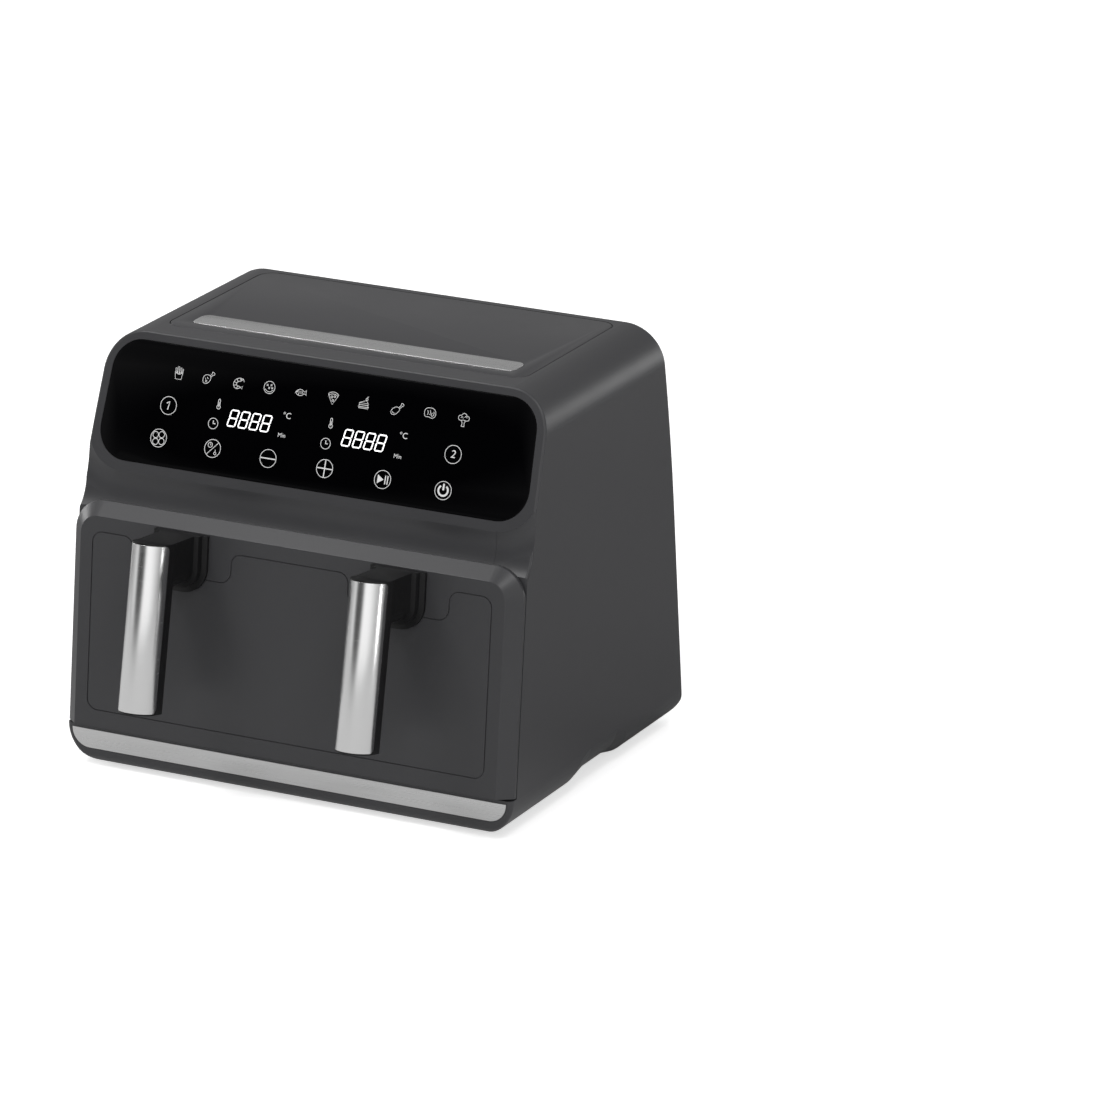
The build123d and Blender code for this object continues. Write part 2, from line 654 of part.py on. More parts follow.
# Arch across the underside between the front and rear feet, with sloped ends
with BuildPart() as arch_form:
    for arch_y, lift in ARCH_STEPS:
        with BuildSketch(Plane.XZ.offset(-arch_y)):
            with BuildLine():
                arch_side = BODY_HALF_WIDTH + NOTCH_SIDE_GAP
                arch_low = BASE_BOTTOM + lift
                ceiling = Line((0, arch_low), (arch_side - BASE_CORNER_RADIUS, arch_low))
                flank = TangentArc(
                    ceiling @ 1, (arch_side, arch_low + BASE_CORNER_RADIUS), tangent=(1, 0)
                )
                Polyline(
                    flank @ 1,
                    (REACH, arch_low + BASE_CORNER_RADIUS),
                    (REACH, -BASE_CORNER_RADIUS),
                    (0, -BASE_CORNER_RADIUS),
                )
                mirror(about=Plane.YZ)
            make_face()
    loft(ruled=True)

# Lower body moulding with the front apron
with BuildPart() as base_tray:
    add(body_form.part)
    with Locations((0, 0, LEDGE_HEIGHT)):
        Box(
            2 * REACH, 2 * REACH, REACH,
            align=(Align.CENTER, Align.CENTER, Align.MAX), mode=Mode.INTERSECT,
        )
    # rear corners rounded like those of the wall above
    with BuildSketch(Plane.XY.offset(LEDGE_HEIGHT)) as tray_plan:
        with Locations((0, rear_y(LEDGE_HEIGHT, 0))):
            Rectangle(2 * BODY_HALF_WIDTH, REACH, align=(Align.CENTER, Align.MAX))
        fillet(tray_plan.vertices().group_by(Axis.Y)[-1], REAR_TOP_ROUND)
    extrude(amount=LEDGE_HEIGHT, dir=-REAR_PLANE.y_dir, mode=Mode.INTERSECT)
    front_corners = base_tray.edges().filter_by(
        lambda e: e.center().Y < APRON_FRONT + PICK_MARGIN
        and abs(e.center().X) > BODY_HALF_WIDTH - BASE_CORNER_RADIUS
        and e.center().Z < LEDGE_HEIGHT - PICK_MARGIN
    )
    fillet(front_corners, APRON_EDGE_ROUND)
    add(arch_form.part, mode=Mode.SUBTRACT)
    # hollow above the floor
    with BuildSketch(Plane.XY.offset(FLOOR_TOP)):
        with Locations((0, (APRON_FRONT + APRON_WALL + rear_y(FLOOR_TOP, BASE_REAR_ROUND / 2)) / 2)):
            RectangleRounded(
                2 * (BODY_HALF_WIDTH - TRAY_SIDE),
                rear_y(FLOOR_TOP, BASE_REAR_ROUND / 2) - APRON_FRONT - APRON_WALL,
                APRON_ROUND,
            )
    extrude(amount=REACH, mode=Mode.SUBTRACT)
    # recess under the floor
    with BuildSketch(Plane.XY.offset(BASE_BOTTOM)):
        with Locations((0, UNDER_RECESS_FRONT + UNDER_RECESS_DEPTH / 2)):
            RectangleRounded(2 * UNDER_RECESS_HALF_WIDTH, UNDER_RECESS_DEPTH, UNDER_RECESS_CORNER)
    extrude(amount=NOTCH_DEPTH, mode=Mode.SUBTRACT)
    # air slots in the floor
    with BuildSketch(Plane.XY.offset(BASE_BOTTOM)):
        with Locations((-FLOOR_SLOT_X, FLOOR_SLOT_Y), (FLOOR_SLOT_X, FLOOR_SLOT_Y)):
            with GridLocations(FLOOR_SLOT_LENGTH, FLOOR_SLOT_PITCH, 1, FLOOR_SLOT_COUNT):
                SlotOverall(FLOOR_SLOT_LENGTH, FLOOR_SLOT_WIDTH)
    extrude(amount=REACH, mode=Mode.SUBTRACT)
    # sockets for the feet
    with BuildSketch(Plane.XY.offset(BASE_BOTTOM)):
        with Locations(FOOT_PLACES):
            Circle(FOOT_RADIUS)
    extrude(amount=FOOT_SOCKET, mode=Mode.SUBTRACT)
    # posts that carry the oven cavity
    with BuildSketch(Plane.XY.offset(FLOOR_TOP)):
        with Locations(POST_PLACES):
            Circle(POST_RADIUS)
    extrude(amount=LINER_FLOOR - SHEET - FLOOR_TOP)
    with BuildSketch(Plane.XY.offset(BASE_BOTTOM)):
        with Locations(POST_PLACES):
            Circle(SCREW_RADIUS)
    extrude(amount=REACH, mode=Mode.SUBTRACT)
    with BuildSketch(Plane.XY.offset(BASE_BOTTOM)):
        with Locations(POST_PLACES):
            Circle(SCREW_HEAD_RADIUS + SCREW_GAP)
    extrude(amount=LINER_FLOOR - BASE_SCREW_LENGTH - BASE_BOTTOM, mode=Mode.SUBTRACT)
    # shallow seat for the metal strip
    with BuildSketch(Plane.XZ.offset(-APRON_FRONT)) as strip_seat:
        with BuildLine():
            Polyline(
                (-BASE_STRIP_TOP_HALF - STRIP_GAP, BASE_STRIP_BOTTOM - STRIP_GAP),
                (BASE_STRIP_TOP_HALF + STRIP_GAP, BASE_STRIP_BOTTOM - STRIP_GAP),
                (BASE_STRIP_TOP_HALF + STRIP_GAP, BASE_STRIP_BOTTOM + BASE_STRIP_HEIGHT + STRIP_GAP),
                (-BASE_STRIP_TOP_HALF - STRIP_GAP, BASE_STRIP_BOTTOM + BASE_STRIP_HEIGHT + STRIP_GAP),
                close=True,
            )
        make_face()
        fillet(strip_seat.vertices().group_by(Axis.Y)[0], BASE_STRIP_CORNER + STRIP_GAP)
    extrude(amount=-STRIP_SEAT, mode=Mode.SUBTRACT)
base_tray.part.label = "base_tray"
export_step(base_tray.part, "parts/base_tray.step")

# Metal strip across the apron
with BuildPart() as base_trim_strip:
    with BuildSketch(Plane.XZ.offset(-APRON_FRONT - STRIP_SEAT)) as strip_face:
        with BuildLine():
            Polyline(
                (-BASE_STRIP_TOP_HALF, BASE_STRIP_BOTTOM),
                (BASE_STRIP_TOP_HALF, BASE_STRIP_BOTTOM),
                (BASE_STRIP_TOP_HALF, BASE_STRIP_BOTTOM + BASE_STRIP_HEIGHT),
                (-BASE_STRIP_TOP_HALF, BASE_STRIP_BOTTOM + BASE_STRIP_HEIGHT),
                close=True,
            )
        make_face()
        fillet(strip_face.vertices().group_by(Axis.Y)[0], BASE_STRIP_CORNER)
    extrude(amount=STRIP_THICKNESS)
base_trim_strip.part.label = "base_trim_strip"
export_step(base_trim_strip.part, "parts/base_trim_strip.step")

# Rubber feet in the sockets under the base
for place, foot_y in {"front": FOOT_FRONT_Y, "rear": FOOT_REAR_Y}.items():
    for side, sign in SIDES.items():
        with BuildPart() as foot:
            with BuildSketch():
                with Locations((sign * FOOT_X, foot_y)):
                    Circle(FOOT_RADIUS)
            extrude(amount=BASE_BOTTOM + FOOT_SOCKET)
            fillet(foot.edges().group_by(Axis.Z)[0], FOOT_ROUND)
        foot.part.label = f"foot_{place}_{side}"
        export_step(foot.part, f"parts/foot_{place}_{side}.step")

# Screws from the base posts into the cavity floor
with BuildPart() as base_screws:
    with Locations(POST_PLACES):
        with Locations((0, 0, LINER_FLOOR - BASE_SCREW_LENGTH)):
            Cylinder(
                SCREW_RADIUS, BASE_SCREW_LENGTH, align=(Align.CENTER, Align.CENTER, Align.MIN)
            )
            Cylinder(
                SCREW_HEAD_RADIUS, SCREW_HEAD_HEIGHT, align=(Align.CENTER, Align.CENTER, Align.MAX)
            )
base_screws.part.label = "base_screws"
export_step(base_screws.part, "parts/base_screws.step")

# Panel let into the top
with BuildPart() as top_panel:
    with BuildSketch(Plane.XY.offset(BODY_TOP)):
        with Locations((0, TOP_PANEL_FRONT + TOP_PANEL_DEPTH / 2)):
            RectangleRounded(2 * TOP_PANEL_HALF_WIDTH, TOP_PANEL_DEPTH, TOP_PANEL_CORNER)
    extrude(amount=-TOP_PANEL_THICKNESS)
    with BuildSketch(Plane.XY.offset(BODY_TOP)):
        with Locations((0, TOP_STRIP_FRONT + TOP_STRIP_DEPTH / 2)):
            RectangleRounded(
                2 * (TOP_STRIP_HALF_WIDTH + STRIP_GAP), TOP_STRIP_DEPTH + 2 * STRIP_GAP,
                TOP_STRIP_CORNER + STRIP_GAP,
            )
    extrude(amount=-STRIP_SEAT, mode=Mode.SUBTRACT)
top_panel.part.label = "top_panel"
export_step(top_panel.part, "parts/top_panel.step")

# Metal strip in the top panel
with BuildPart() as top_trim_strip:
    with BuildSketch(Plane.XY.offset(BODY_TOP - STRIP_SEAT)):
        with Locations((0, TOP_STRIP_FRONT + TOP_STRIP_DEPTH / 2)):
            RectangleRounded(2 * TOP_STRIP_HALF_WIDTH, TOP_STRIP_DEPTH, TOP_STRIP_CORNER)
    extrude(amount=STRIP_THICKNESS)
top_trim_strip.part.label = "top_trim_strip"
export_step(top_trim_strip.part, "parts/top_trim_strip.step")

# Glass of the control panel
with BuildPart() as control_glass:
    with BuildSketch(PANEL_PLANE.offset(-GLASS_THICKNESS)) as glass_outline:
        with BuildLine():
            Polyline(
                (-GLASS_BOTTOM_HALF, GLASS_BOTTOM),
                (GLASS_BOTTOM_HALF, GLASS_BOTTOM),
                (GLASS_TOP_HALF, GLASS_BOTTOM + GLASS_HEIGHT),
                (-GLASS_TOP_HALF, GLASS_BOTTOM + GLASS_HEIGHT),
                close=True,
            )
        make_face()
        fillet(glass_outline.vertices(), GLASS_CORNER)
    extrude(amount=GLASS_THICKNESS)
control_glass.part.label = "control_glass"
export_step(control_glass.part, "parts/control_glass.step")

# Frame with the light wells behind the glass
with BuildPart() as display_carrier:
    with BuildSketch(PANEL_PLANE.offset(-BEZEL_WALL)):
        with Locations((0, GLASS_MIDDLE)):
            Rectangle(2 * DISPLAY_HALF_WIDTH, DISPLAY_HEIGHT)
    extrude(amount=-DISPLAY_THICKNESS)
    with BuildSketch(PANEL_PLANE.offset(-GLASS_THICKNESS)):
        with Locations((0, GLASS_MIDDLE)):
            Rectangle(
                2 * (DISPLAY_HALF_WIDTH - GLASS_LEDGE), GLASS_HEIGHT - 2 * GLASS_LEDGE - DISPLAY_STEP
            )
    extrude(amount=-DISPLAY_THICKNESS)
    with BuildSketch(PANEL_PLANE):
        with Locations((DIGIT_CENTRE_X, DIGIT_CENTRE_V)):
            with GridLocations(DIGIT_SPACING, 1, 2, 1):
                Rectangle(DIGIT_WINDOW_WIDTH, DIGIT_WINDOW_HEIGHT)
        with Locations((KEY_ROW_X, KEY_ROW_V)):
            with GridLocations(KEY_SPACING, 1, KEY_COUNT, 1):
                Circle(KEY_BORE)
        with Locations((ICON_ROW_X, ICON_ROW_V)):
            with GridLocations(ICON_SPACING, 1, ICON_COUNT, 1):
                Circle(ICON_BORE)
    extrude(amount=-REACH, mode=Mode.SUBTRACT)
display_carrier.part.label = "display_carrier"
export_step(display_carrier.part, "parts/display_carrier.step")

# Circuit board and digit modules behind the frame
BOARD_FACE = BEZEL_WALL + DISPLAY_THICKNESS
with BuildPart() as control_board:
    with BuildSketch(PANEL_PLANE.offset(-BOARD_FACE)):
        with Locations((0, GLASS_MIDDLE)):
            Rectangle(2 * (DISPLAY_HALF_WIDTH - BOARD_MARGIN), DISPLAY_HEIGHT - BOARD_MARGIN)
    extrude(amount=-BOARD_THICKNESS)
control_board.part.label = "control_board"
export_step(control_board.part, "parts/control_board.step")

with BuildPart() as digit_modules:
    with BuildSketch(PANEL_PLANE.offset(-BOARD_FACE)):
        with Locations((DIGIT_CENTRE_X, DIGIT_CENTRE_V)):
            with GridLocations(DIGIT_SPACING, 1, 2, 1):
                Rectangle(DIGIT_WINDOW_WIDTH - 2 * DIGIT_FIT, DIGIT_WINDOW_HEIGHT - 2 * DIGIT_FIT)
    extrude(amount=DIGIT_THICKNESS)
digit_modules.part.label = "digit_modules"
export_step(digit_modules.part, "parts/digit_modules.step")

# Rear cover with air louvres and the cord gland
with BuildPart() as rear_cover:
    with BuildSketch(REAR_PLANE):
        with Locations((0, COVER_MIDDLE)):
            RectangleRounded(2 * COVER_HALF_WIDTH, COVER_HEIGHT, COVER_CORNER)
    extrude(amount=COVER_THICKNESS)
    rear_axis = Axis((0, 0, 0), REAR_PLANE.z_dir)
    fillet(rear_cover.edges().group_by(rear_axis)[-1], COVER_ROUND)
    with BuildSketch(REAR_PLANE):
        with Locations((-LOUVRE_X, LOUVRE_V), (LOUVRE_X, LOUVRE_V)):
            with GridLocations(LOUVRE_LENGTH, LOUVRE_PITCH, 1, LOUVRE_COUNT):
                SlotOverall(LOUVRE_LENGTH, LOUVRE_WIDTH)
        with Locations((GLAND_X, GLAND_V)):
            Circle(GLAND_RADIUS)
        with Locations((0, COVER_MIDDLE)):
            with GridLocations(COVER_SCREW_SPAN, COVER_SCREW_RISE, 3, 2):
                Circle(SCREW_RADIUS)
    extrude(amount=REACH, mode=Mode.SUBTRACT)
rear_cover.part.label = "rear_cover"
export_step(rear_cover.part, "parts/rear_cover.step")

# Screws of the rear cover
with BuildPart() as rear_cover_screws:
    with BuildSketch(REAR_PLANE.offset(COVER_THICKNESS)):
        with Locations((0, COVER_MIDDLE)):
            with GridLocations(COVER_SCREW_SPAN, COVER_SCREW_RISE, 3, 2):
                Circle(SCREW_RADIUS)
    extrude(amount=-COVER_SCREW_LENGTH)
    with BuildSketch(REAR_PLANE.offset(COVER_THICKNESS)):
        with Locations((0, COVER_MIDDLE)):
            with GridLocations(COVER_SCREW_SPAN, COVER_SCREW_RISE, 3, 2):
                Circle(SCREW_HEAD_RADIUS)
    extrude(amount=SCREW_HEAD_HEIGHT)
rear_cover_screws.part.label = "rear_cover_screws"
export_step(rear_cover_screws.part, "parts/rear_cover_screws.step")

# Gland for the power cord
with BuildPart() as cord_gland:
    with BuildSketch(REAR_PLANE.offset(COVER_THICKNESS)):
        with Locations((GLAND_X, GLAND_V)):
            Circle(GLAND_FLANGE_RADIUS)
    extrude(amount=GLAND_FLANGE)
    with BuildSketch(REAR_PLANE.offset(COVER_THICKNESS)):
        with Locations((GLAND_X, GLAND_V)):
            Circle(GLAND_RADIUS)
    extrude(amount=-GLAND_REACH)
    with BuildSketch(REAR_PLANE.offset(REACH / 2)):
        with Locations((GLAND_X, GLAND_V)):
            Circle(GLAND_BORE_RADIUS)
    extrude(amount=-REACH, mode=Mode.SUBTRACT)
cord_gland.part.label = "cord_gland"
export_step(cord_gland.part, "parts/cord_gland.step")

# Power board on posts inside the rear cover
with BuildPart() as board_standoffs:
    with BuildSketch(REAR_PLANE):
        with Locations((0, POWER_BOARD_V)):
            with GridLocations(
                2 * (POWER_BOARD_HALF_WIDTH - STANDOFF_INSET),
                POWER_BOARD_HEIGHT - 2 * STANDOFF_INSET,
                2, 2,
            ):
                Circle(STANDOFF_RADIUS)
    extrude(amount=-STANDOFF_LENGTH)
board_standoffs.part.label = "board_standoffs"
export_step(board_standoffs.part, "parts/board_standoffs.step")

with BuildPart() as power_board:
    with BuildSketch(REAR_PLANE.offset(-STANDOFF_LENGTH)):
        with Locations((0, POWER_BOARD_V)):
            Rectangle(2 * POWER_BOARD_HALF_WIDTH, POWER_BOARD_HEIGHT)
    extrude(amount=-BOARD_THICKNESS)
power_board.part.label = "power_board"
export_step(power_board.part, "parts/power_board.step")

# Sheet metal oven cavity, open to the front
SEAT_INSIDE = SEAT - WALL
with BuildPart() as cavity_liner:
    with BuildSketch(Plane.YZ):
        with BuildLine():
            Polyline(
                lean_at(LINER_CEILING + SHEET, SEAT_INSIDE),
                lean_at(LINER_FLOOR - SHEET, SEAT_INSIDE),
                (LINER_BACK + SHEET, LINER_FLOOR - SHEET),
                (LINER_BACK + SHEET, LINER_CEILING + SHEET),
                close=True,
            )
        make_face()
    extrude(amount=LINER_HALF_WIDTH + SHEET, both=True)
    with BuildSketch(Plane.YZ):
        with BuildLine():
            Polyline(
                lean_at(LINER_CEILING, SEAT),
                lean_at(LINER_FLOOR, SEAT),
                (LINER_BACK, LINER_FLOOR),
                (LINER_BACK, LINER_CEILING),
                close=True,
            )
        make_face()
    extrude(amount=LINER_HALF_WIDTH, both=True, mode=Mode.SUBTRACT)
    # flange against the inside of the front wall
    with BuildSketch(Plane.YZ):
        with BuildLine():
            Polyline(
                lean_at(LINER_FLOOR - LINER_FLANGE, SEAT_INSIDE),
                lean_at(LINER_FLOOR - LINER_FLANGE, SEAT_INSIDE - SHEET),
                lean_at(LINER_FLOOR - SHEET, SEAT_INSIDE - SHEET),
                lean_at(LINER_FLOOR - SHEET, SEAT_INSIDE),
                close=True,
            )
        make_face()
    extrude(amount=LINER_HALF_WIDTH + SHEET, both=True)
    # round openings under the heaters
    with BuildSketch(Plane.XY.offset(LINER_CEILING)):
        with Locations((-UNIT_X, UNIT_Y), (UNIT_X, UNIT_Y)):
            Circle(DISH_RADIUS - GUARD_LEDGE)
    extrude(amount=SHEET, mode=Mode.SUBTRACT)
    # screw holes in the floor
    with BuildSketch(Plane.XY.offset(LINER_FLOOR)):
        with Locations(POST_PLACES):
            Circle(SCREW_RADIUS)
    extrude(amount=-SHEET, mode=Mode.SUBTRACT)
    # hole for the drawer switch
    with Locations((SWITCH_X, LINER_BACK, POT_TOP - POT_RIM_HEIGHT / 2)):
        Cylinder(
            PLUNGER_RADIUS + PLUNGER_RUN_GAP, 4 * SHEET, rotation=(90, 0, 0), mode=Mode.SUBTRACT
        )
cavity_liner.part.label = "cavity_liner"
export_step(cavity_liner.part, "parts/cavity_liner.step")

# Rails under the pot rim
RAIL_TOP = POT_TOP - POT_RIM_HEIGHT - SLIDE_GAP
for side, sign in SIDES.items():
    with BuildPart() as drawer_rail:
        rail_front = POT_FRONT + CARRIER_LAP + RAIL_FRONT_GAP
        with Locations((sign * (LINER_HALF_WIDTH - RAIL_WIDTH / 2), rail_front, RAIL_TOP)):
            Box(
                RAIL_WIDTH, LINER_BACK - RAIL_REAR_GAP - rail_front, RAIL_HEIGHT,
                align=(Align.CENTER, Align.MIN, Align.MAX),
            )
    drawer_rail.part.label = f"drawer_rail_{side}"
    export_step(drawer_rail.part, f"parts/drawer_rail_{side}.step")

# Heater, fan and motor over each half of the drawer
DISH_BASE = LINER_CEILING + SHEET
DISH_TOP = DISH_BASE + DISH_HEIGHT
COIL_LEVEL = DISH_BASE + GUARD_THICKNESS + COIL_RISE
FAN_BASE = DISH_BASE + GUARD_THICKNESS + FAN_RISE
BRACKET_TOP = DISH_TOP + BRACKET_RISE
MOTOR_TOP = BRACKET_TOP + MOTOR_HEIGHT
COOLER_BASE = MOTOR_TOP + MOTOR_BOSS + COOLER_GAP
SHAFT_TOP = COOLER_BASE + COOLER_HEIGHT + SHAFT_OVERRUN
for side, sign in SIDES.items():
    unit = Plane(origin=(sign * UNIT_X, UNIT_Y, 0))

    with BuildPart() as heater_dish:
        with BuildSketch(unit.offset(DISH_BASE)):
            Circle(DISH_RADIUS + DISH_FLANGE)
        extrude(amount=SHEET)
        with BuildSketch(unit.offset(DISH_BASE)):
            Circle(DISH_RADIUS + SHEET)
        extrude(amount=DISH_HEIGHT)
        with BuildSketch(unit.offset(DISH_BASE)):
            Circle(DISH_RADIUS)
        extrude(amount=DISH_HEIGHT - SHEET, mode=Mode.SUBTRACT)
        with BuildSketch(unit.offset(DISH_BASE)):
            Circle(SHAFT_RADIUS + SHAFT_HOLE_GAP)
            with PolarLocations(COIL_OUTER_RADIUS, 1, start_angle=COIL_GAP_ANGLE / 2 - 90):
                Circle(COIL_RADIUS + COIL_HOLE_GAP)
            with PolarLocations(COIL_INNER_RADIUS, 1, start_angle=COIL_GAP_ANGLE / 2 - 90):
                Circle(COIL_RADIUS + COIL_HOLE_GAP)
        extrude(amount=REACH, mode=Mode.SUBTRACT)
    heater_dish.part.label = f"heater_dish_{side}"
    export_step(heater_dish.part, f"parts/heater_dish_{side}.step")

    with BuildPart() as heater_guard:
        with BuildSketch(unit.offset(DISH_BASE)):
            for ring in range(GUARD_RING_COUNT):
                ring_outer = DISH_RADIUS - GUARD_GAP - ring * GUARD_RING_PITCH
                ring_width = GUARD_RING_WIDTH + (GUARD_LEDGE if ring == 0 else 0)
                Circle(ring_outer)
                Circle(ring_outer - ring_width, mode=Mode.SUBTRACT)
            with PolarLocations(0, GUARD_SPOKE_COUNT // 2, angular_range=180):
                Rectangle(2 * (DISH_RADIUS - GUARD_GAP - GUARD_RING_WIDTH), GUARD_SPOKE_WIDTH)
        extrude(amount=GUARD_THICKNESS)
    heater_guard.part.label = f"heater_guard_{side}"
    export_step(heater_guard.part, f"parts/heater_guard_{side}.step")

    with BuildPart() as heating_element:
        with BuildLine(unit.offset(COIL_LEVEL)) as coil_path:
            start_angle = COIL_GAP_ANGLE / 2 - 90
            sweep_angle = 360 - COIL_GAP_ANGLE
            outer_turn = CenterArc((0, 0), COIL_OUTER_RADIUS, start_angle, sweep_angle)
            inner_turn = CenterArc((0, 0), COIL_INNER_RADIUS, start_angle, sweep_angle)
            TangentArc(outer_turn @ 1, inner_turn @ 1, tangent=outer_turn % 1)
        with BuildSketch(Plane(origin=coil_path.wire() @ 0, z_dir=coil_path.wire() % 0)):
            Circle(COIL_RADIUS)
        sweep()
        for radius in (COIL_OUTER_RADIUS, COIL_INNER_RADIUS):
            with BuildSketch(unit.offset(COIL_LEVEL)):
                with PolarLocations(radius, 1, start_angle=start_angle):
                    Circle(COIL_RADIUS)
            extrude(amount=DISH_TOP - COIL_LEVEL + COIL_TAIL_RISE)
            with BuildSketch(unit.offset(COIL_LEVEL)):
                with PolarLocations(radius, 1, start_angle=start_angle):
                    Circle(COIL_RADIUS)
            extrude(amount=-COIL_RADIUS)
    heating_element.part.label = f"heating_element_{side}"
    export_step(heating_element.part, f"parts/heating_element_{side}.step")

    with BuildPart() as motor_shaft:
        with BuildSketch(unit.offset(FAN_BASE)):
            Circle(SHAFT_RADIUS)
        extrude(amount=SHAFT_TOP - FAN_BASE)
    motor_shaft.part.label = f"motor_shaft_{side}"
    export_step(motor_shaft.part, f"parts/motor_shaft_{side}.step")

    with BuildPart() as hot_air_fan:
        with BuildSketch(unit.offset(FAN_BASE)):
            Circle(FAN_HUB_RADIUS)
            with PolarLocations((BLADE_INNER_RADIUS + FAN_RADIUS) / 2, FAN_BLADES):
                Rectangle(FAN_RADIUS - BLADE_INNER_RADIUS, BLADE_THICKNESS)
        extrude(amount=FAN_HEIGHT)
        with BuildSketch(unit.offset(FAN_BASE + FAN_HEIGHT - FAN_DISC)):
            Circle(FAN_RADIUS)
        extrude(amount=FAN_DISC)
        with BuildSketch(unit.offset(FAN_BASE)):
            Circle(SHAFT_RADIUS)
        extrude(amount=FAN_HEIGHT, mode=Mode.SUBTRACT)
    hot_air_fan.part.label = f"hot_air_fan_{side}"
    export_step(hot_air_fan.part, f"parts/hot_air_fan_{side}.step")

    with BuildPart() as motor_bracket:
        with BuildSketch(Plane.XZ.offset(-UNIT_Y - BRACKET_WIDTH / 2)) as strap:
            with BuildLine():
                half = BRACKET_LENGTH / 2
                centre = sign * UNIT_X
                Polyline(
                    (centre - half - BRACKET_FOOT, DISH_TOP),
                    (centre - half + BRACKET_SHEET, DISH_TOP),
                    (centre - half + BRACKET_SHEET, BRACKET_TOP - BRACKET_SHEET),
                    (centre + half - BRACKET_SHEET, BRACKET_TOP - BRACKET_SHEET),
                    (centre + half - BRACKET_SHEET, DISH_TOP),
                    (centre + half + BRACKET_FOOT, DISH_TOP),
                    (centre + half + BRACKET_FOOT, DISH_TOP + BRACKET_SHEET),
                    (centre + half, DISH_TOP + BRACKET_SHEET),
                    (centre + half, BRACKET_TOP),
                    (centre - half, BRACKET_TOP),
                    (centre - half, DISH_TOP + BRACKET_SHEET),
                    (centre - half - BRACKET_FOOT, DISH_TOP + BRACKET_SHEET),
                    close=True,
                )
            make_face()
        extrude(amount=BRACKET_WIDTH)
        with BuildSketch(unit.offset(BRACKET_TOP)):
            Circle(SHAFT_RADIUS + SHAFT_HOLE_GAP)
        extrude(amount=-2 * BRACKET_SHEET, mode=Mode.SUBTRACT)
    motor_bracket.part.label = f"motor_bracket_{side}"
    export_step(motor_bracket.part, f"parts/motor_bracket_{side}.step")

    with BuildPart() as fan_motor:
        with BuildSketch(unit.offset(BRACKET_TOP)):
            Circle(MOTOR_RADIUS)
        extrude(amount=MOTOR_HEIGHT)
        fillet(fan_motor.edges().group_by(Axis.Z)[-1], MOTOR_ROUND)
        with BuildSketch(unit.offset(MOTOR_TOP)):
            Circle(MOTOR_BOSS_RADIUS)
        extrude(amount=MOTOR_BOSS)
        with BuildSketch(unit.offset(BRACKET_TOP)):
            Circle(SHAFT_RADIUS + SHAFT_RUN_GAP)
        extrude(amount=REACH, mode=Mode.SUBTRACT)
    fan_motor.part.label = f"fan_motor_{side}"
    export_step(fan_motor.part, f"parts/fan_motor_{side}.step")

    with BuildPart() as cooling_fan:
        with BuildSketch(unit.offset(COOLER_BASE)):
            Circle(FAN_HUB_RADIUS)
            with PolarLocations((COOLER_BLADE_INNER_RADIUS + COOLER_RADIUS) / 2, COOLER_BLADES):
                Rectangle(COOLER_RADIUS - COOLER_BLADE_INNER_RADIUS, BLADE_THICKNESS)
        extrude(amount=COOLER_HEIGHT)
        with BuildSketch(unit.offset(COOLER_BASE)):
            Circle(COOLER_RADIUS)
        extrude(amount=FAN_DISC)
        with BuildSketch(unit.offset(COOLER_BASE)):
            Circle(SHAFT_RADIUS)
        extrude(amount=COOLER_HEIGHT, mode=Mode.SUBTRACT)
    cooling_fan.part.label = f"cooling_fan_{side}"
    export_step(cooling_fan.part, f"parts/cooling_fan_{side}.step")

    with BuildPart() as thermostat:
        with BuildSketch(unit.offset(DISH_TOP)):
            with Locations((0, THERMOSTAT_OFFSET)):
                Circle(THERMOSTAT_RADIUS)
        extrude(amount=THERMOSTAT_HEIGHT)
        with BuildSketch(unit.offset(DISH_TOP + THERMOSTAT_HEIGHT)):
            with Locations((0, THERMOSTAT_OFFSET)):
                with GridLocations(THERMOSTAT_RADIUS, 1, 2, 1):
                    Rectangle(TAB_THICKNESS, TAB_WIDTH)
        extrude(amount=TAB_HEIGHT)
    thermostat.part.label = f"thermostat_{side}"
    export_step(thermostat.part, f"parts/thermostat_{side}.step")

# Drawer switch behind the cavity, pressed by the pot rim
SWITCH_Z = POT_TOP - POT_RIM_HEIGHT / 2
RIM_BACK = POT_BACK + POT_RIM_WIDTH
PLUNGER_REAR = LINER_BACK + SHEET + SWITCH_DEPTH / 2 - 2 * PLUNGER_TRAVEL
PLUNGER_LENGTH = PLUNGER_REAR - RIM_BACK - PLUNGER_GAP
with BuildPart() as drawer_switch:
    with Locations((SWITCH_X, LINER_BACK + SHEET, SWITCH_Z)):
        Box(
            SWITCH_WIDTH, SWITCH_DEPTH, SWITCH_HEIGHT,
            align=(Align.CENTER, Align.MIN, Align.CENTER),
        )
        Cylinder(
            PLUNGER_RADIUS + PLUNGER_RUN_GAP, SWITCH_DEPTH, rotation=(90, 0, 0), mode=Mode.SUBTRACT
        )
drawer_switch.part.label = "drawer_switch"
export_step(drawer_switch.part, "parts/drawer_switch.step")

with BuildPart() as switch_plunger:
    with BuildSketch(Plane.XZ.offset(-RIM_BACK - PLUNGER_GAP)):
        with Locations((SWITCH_X, SWITCH_Z)):
            Circle(PLUNGER_RADIUS)
    extrude(amount=-PLUNGER_LENGTH)
switch_plunger.part.label = "switch_plunger"
export_step(switch_plunger.part, "parts/switch_plunger.step")

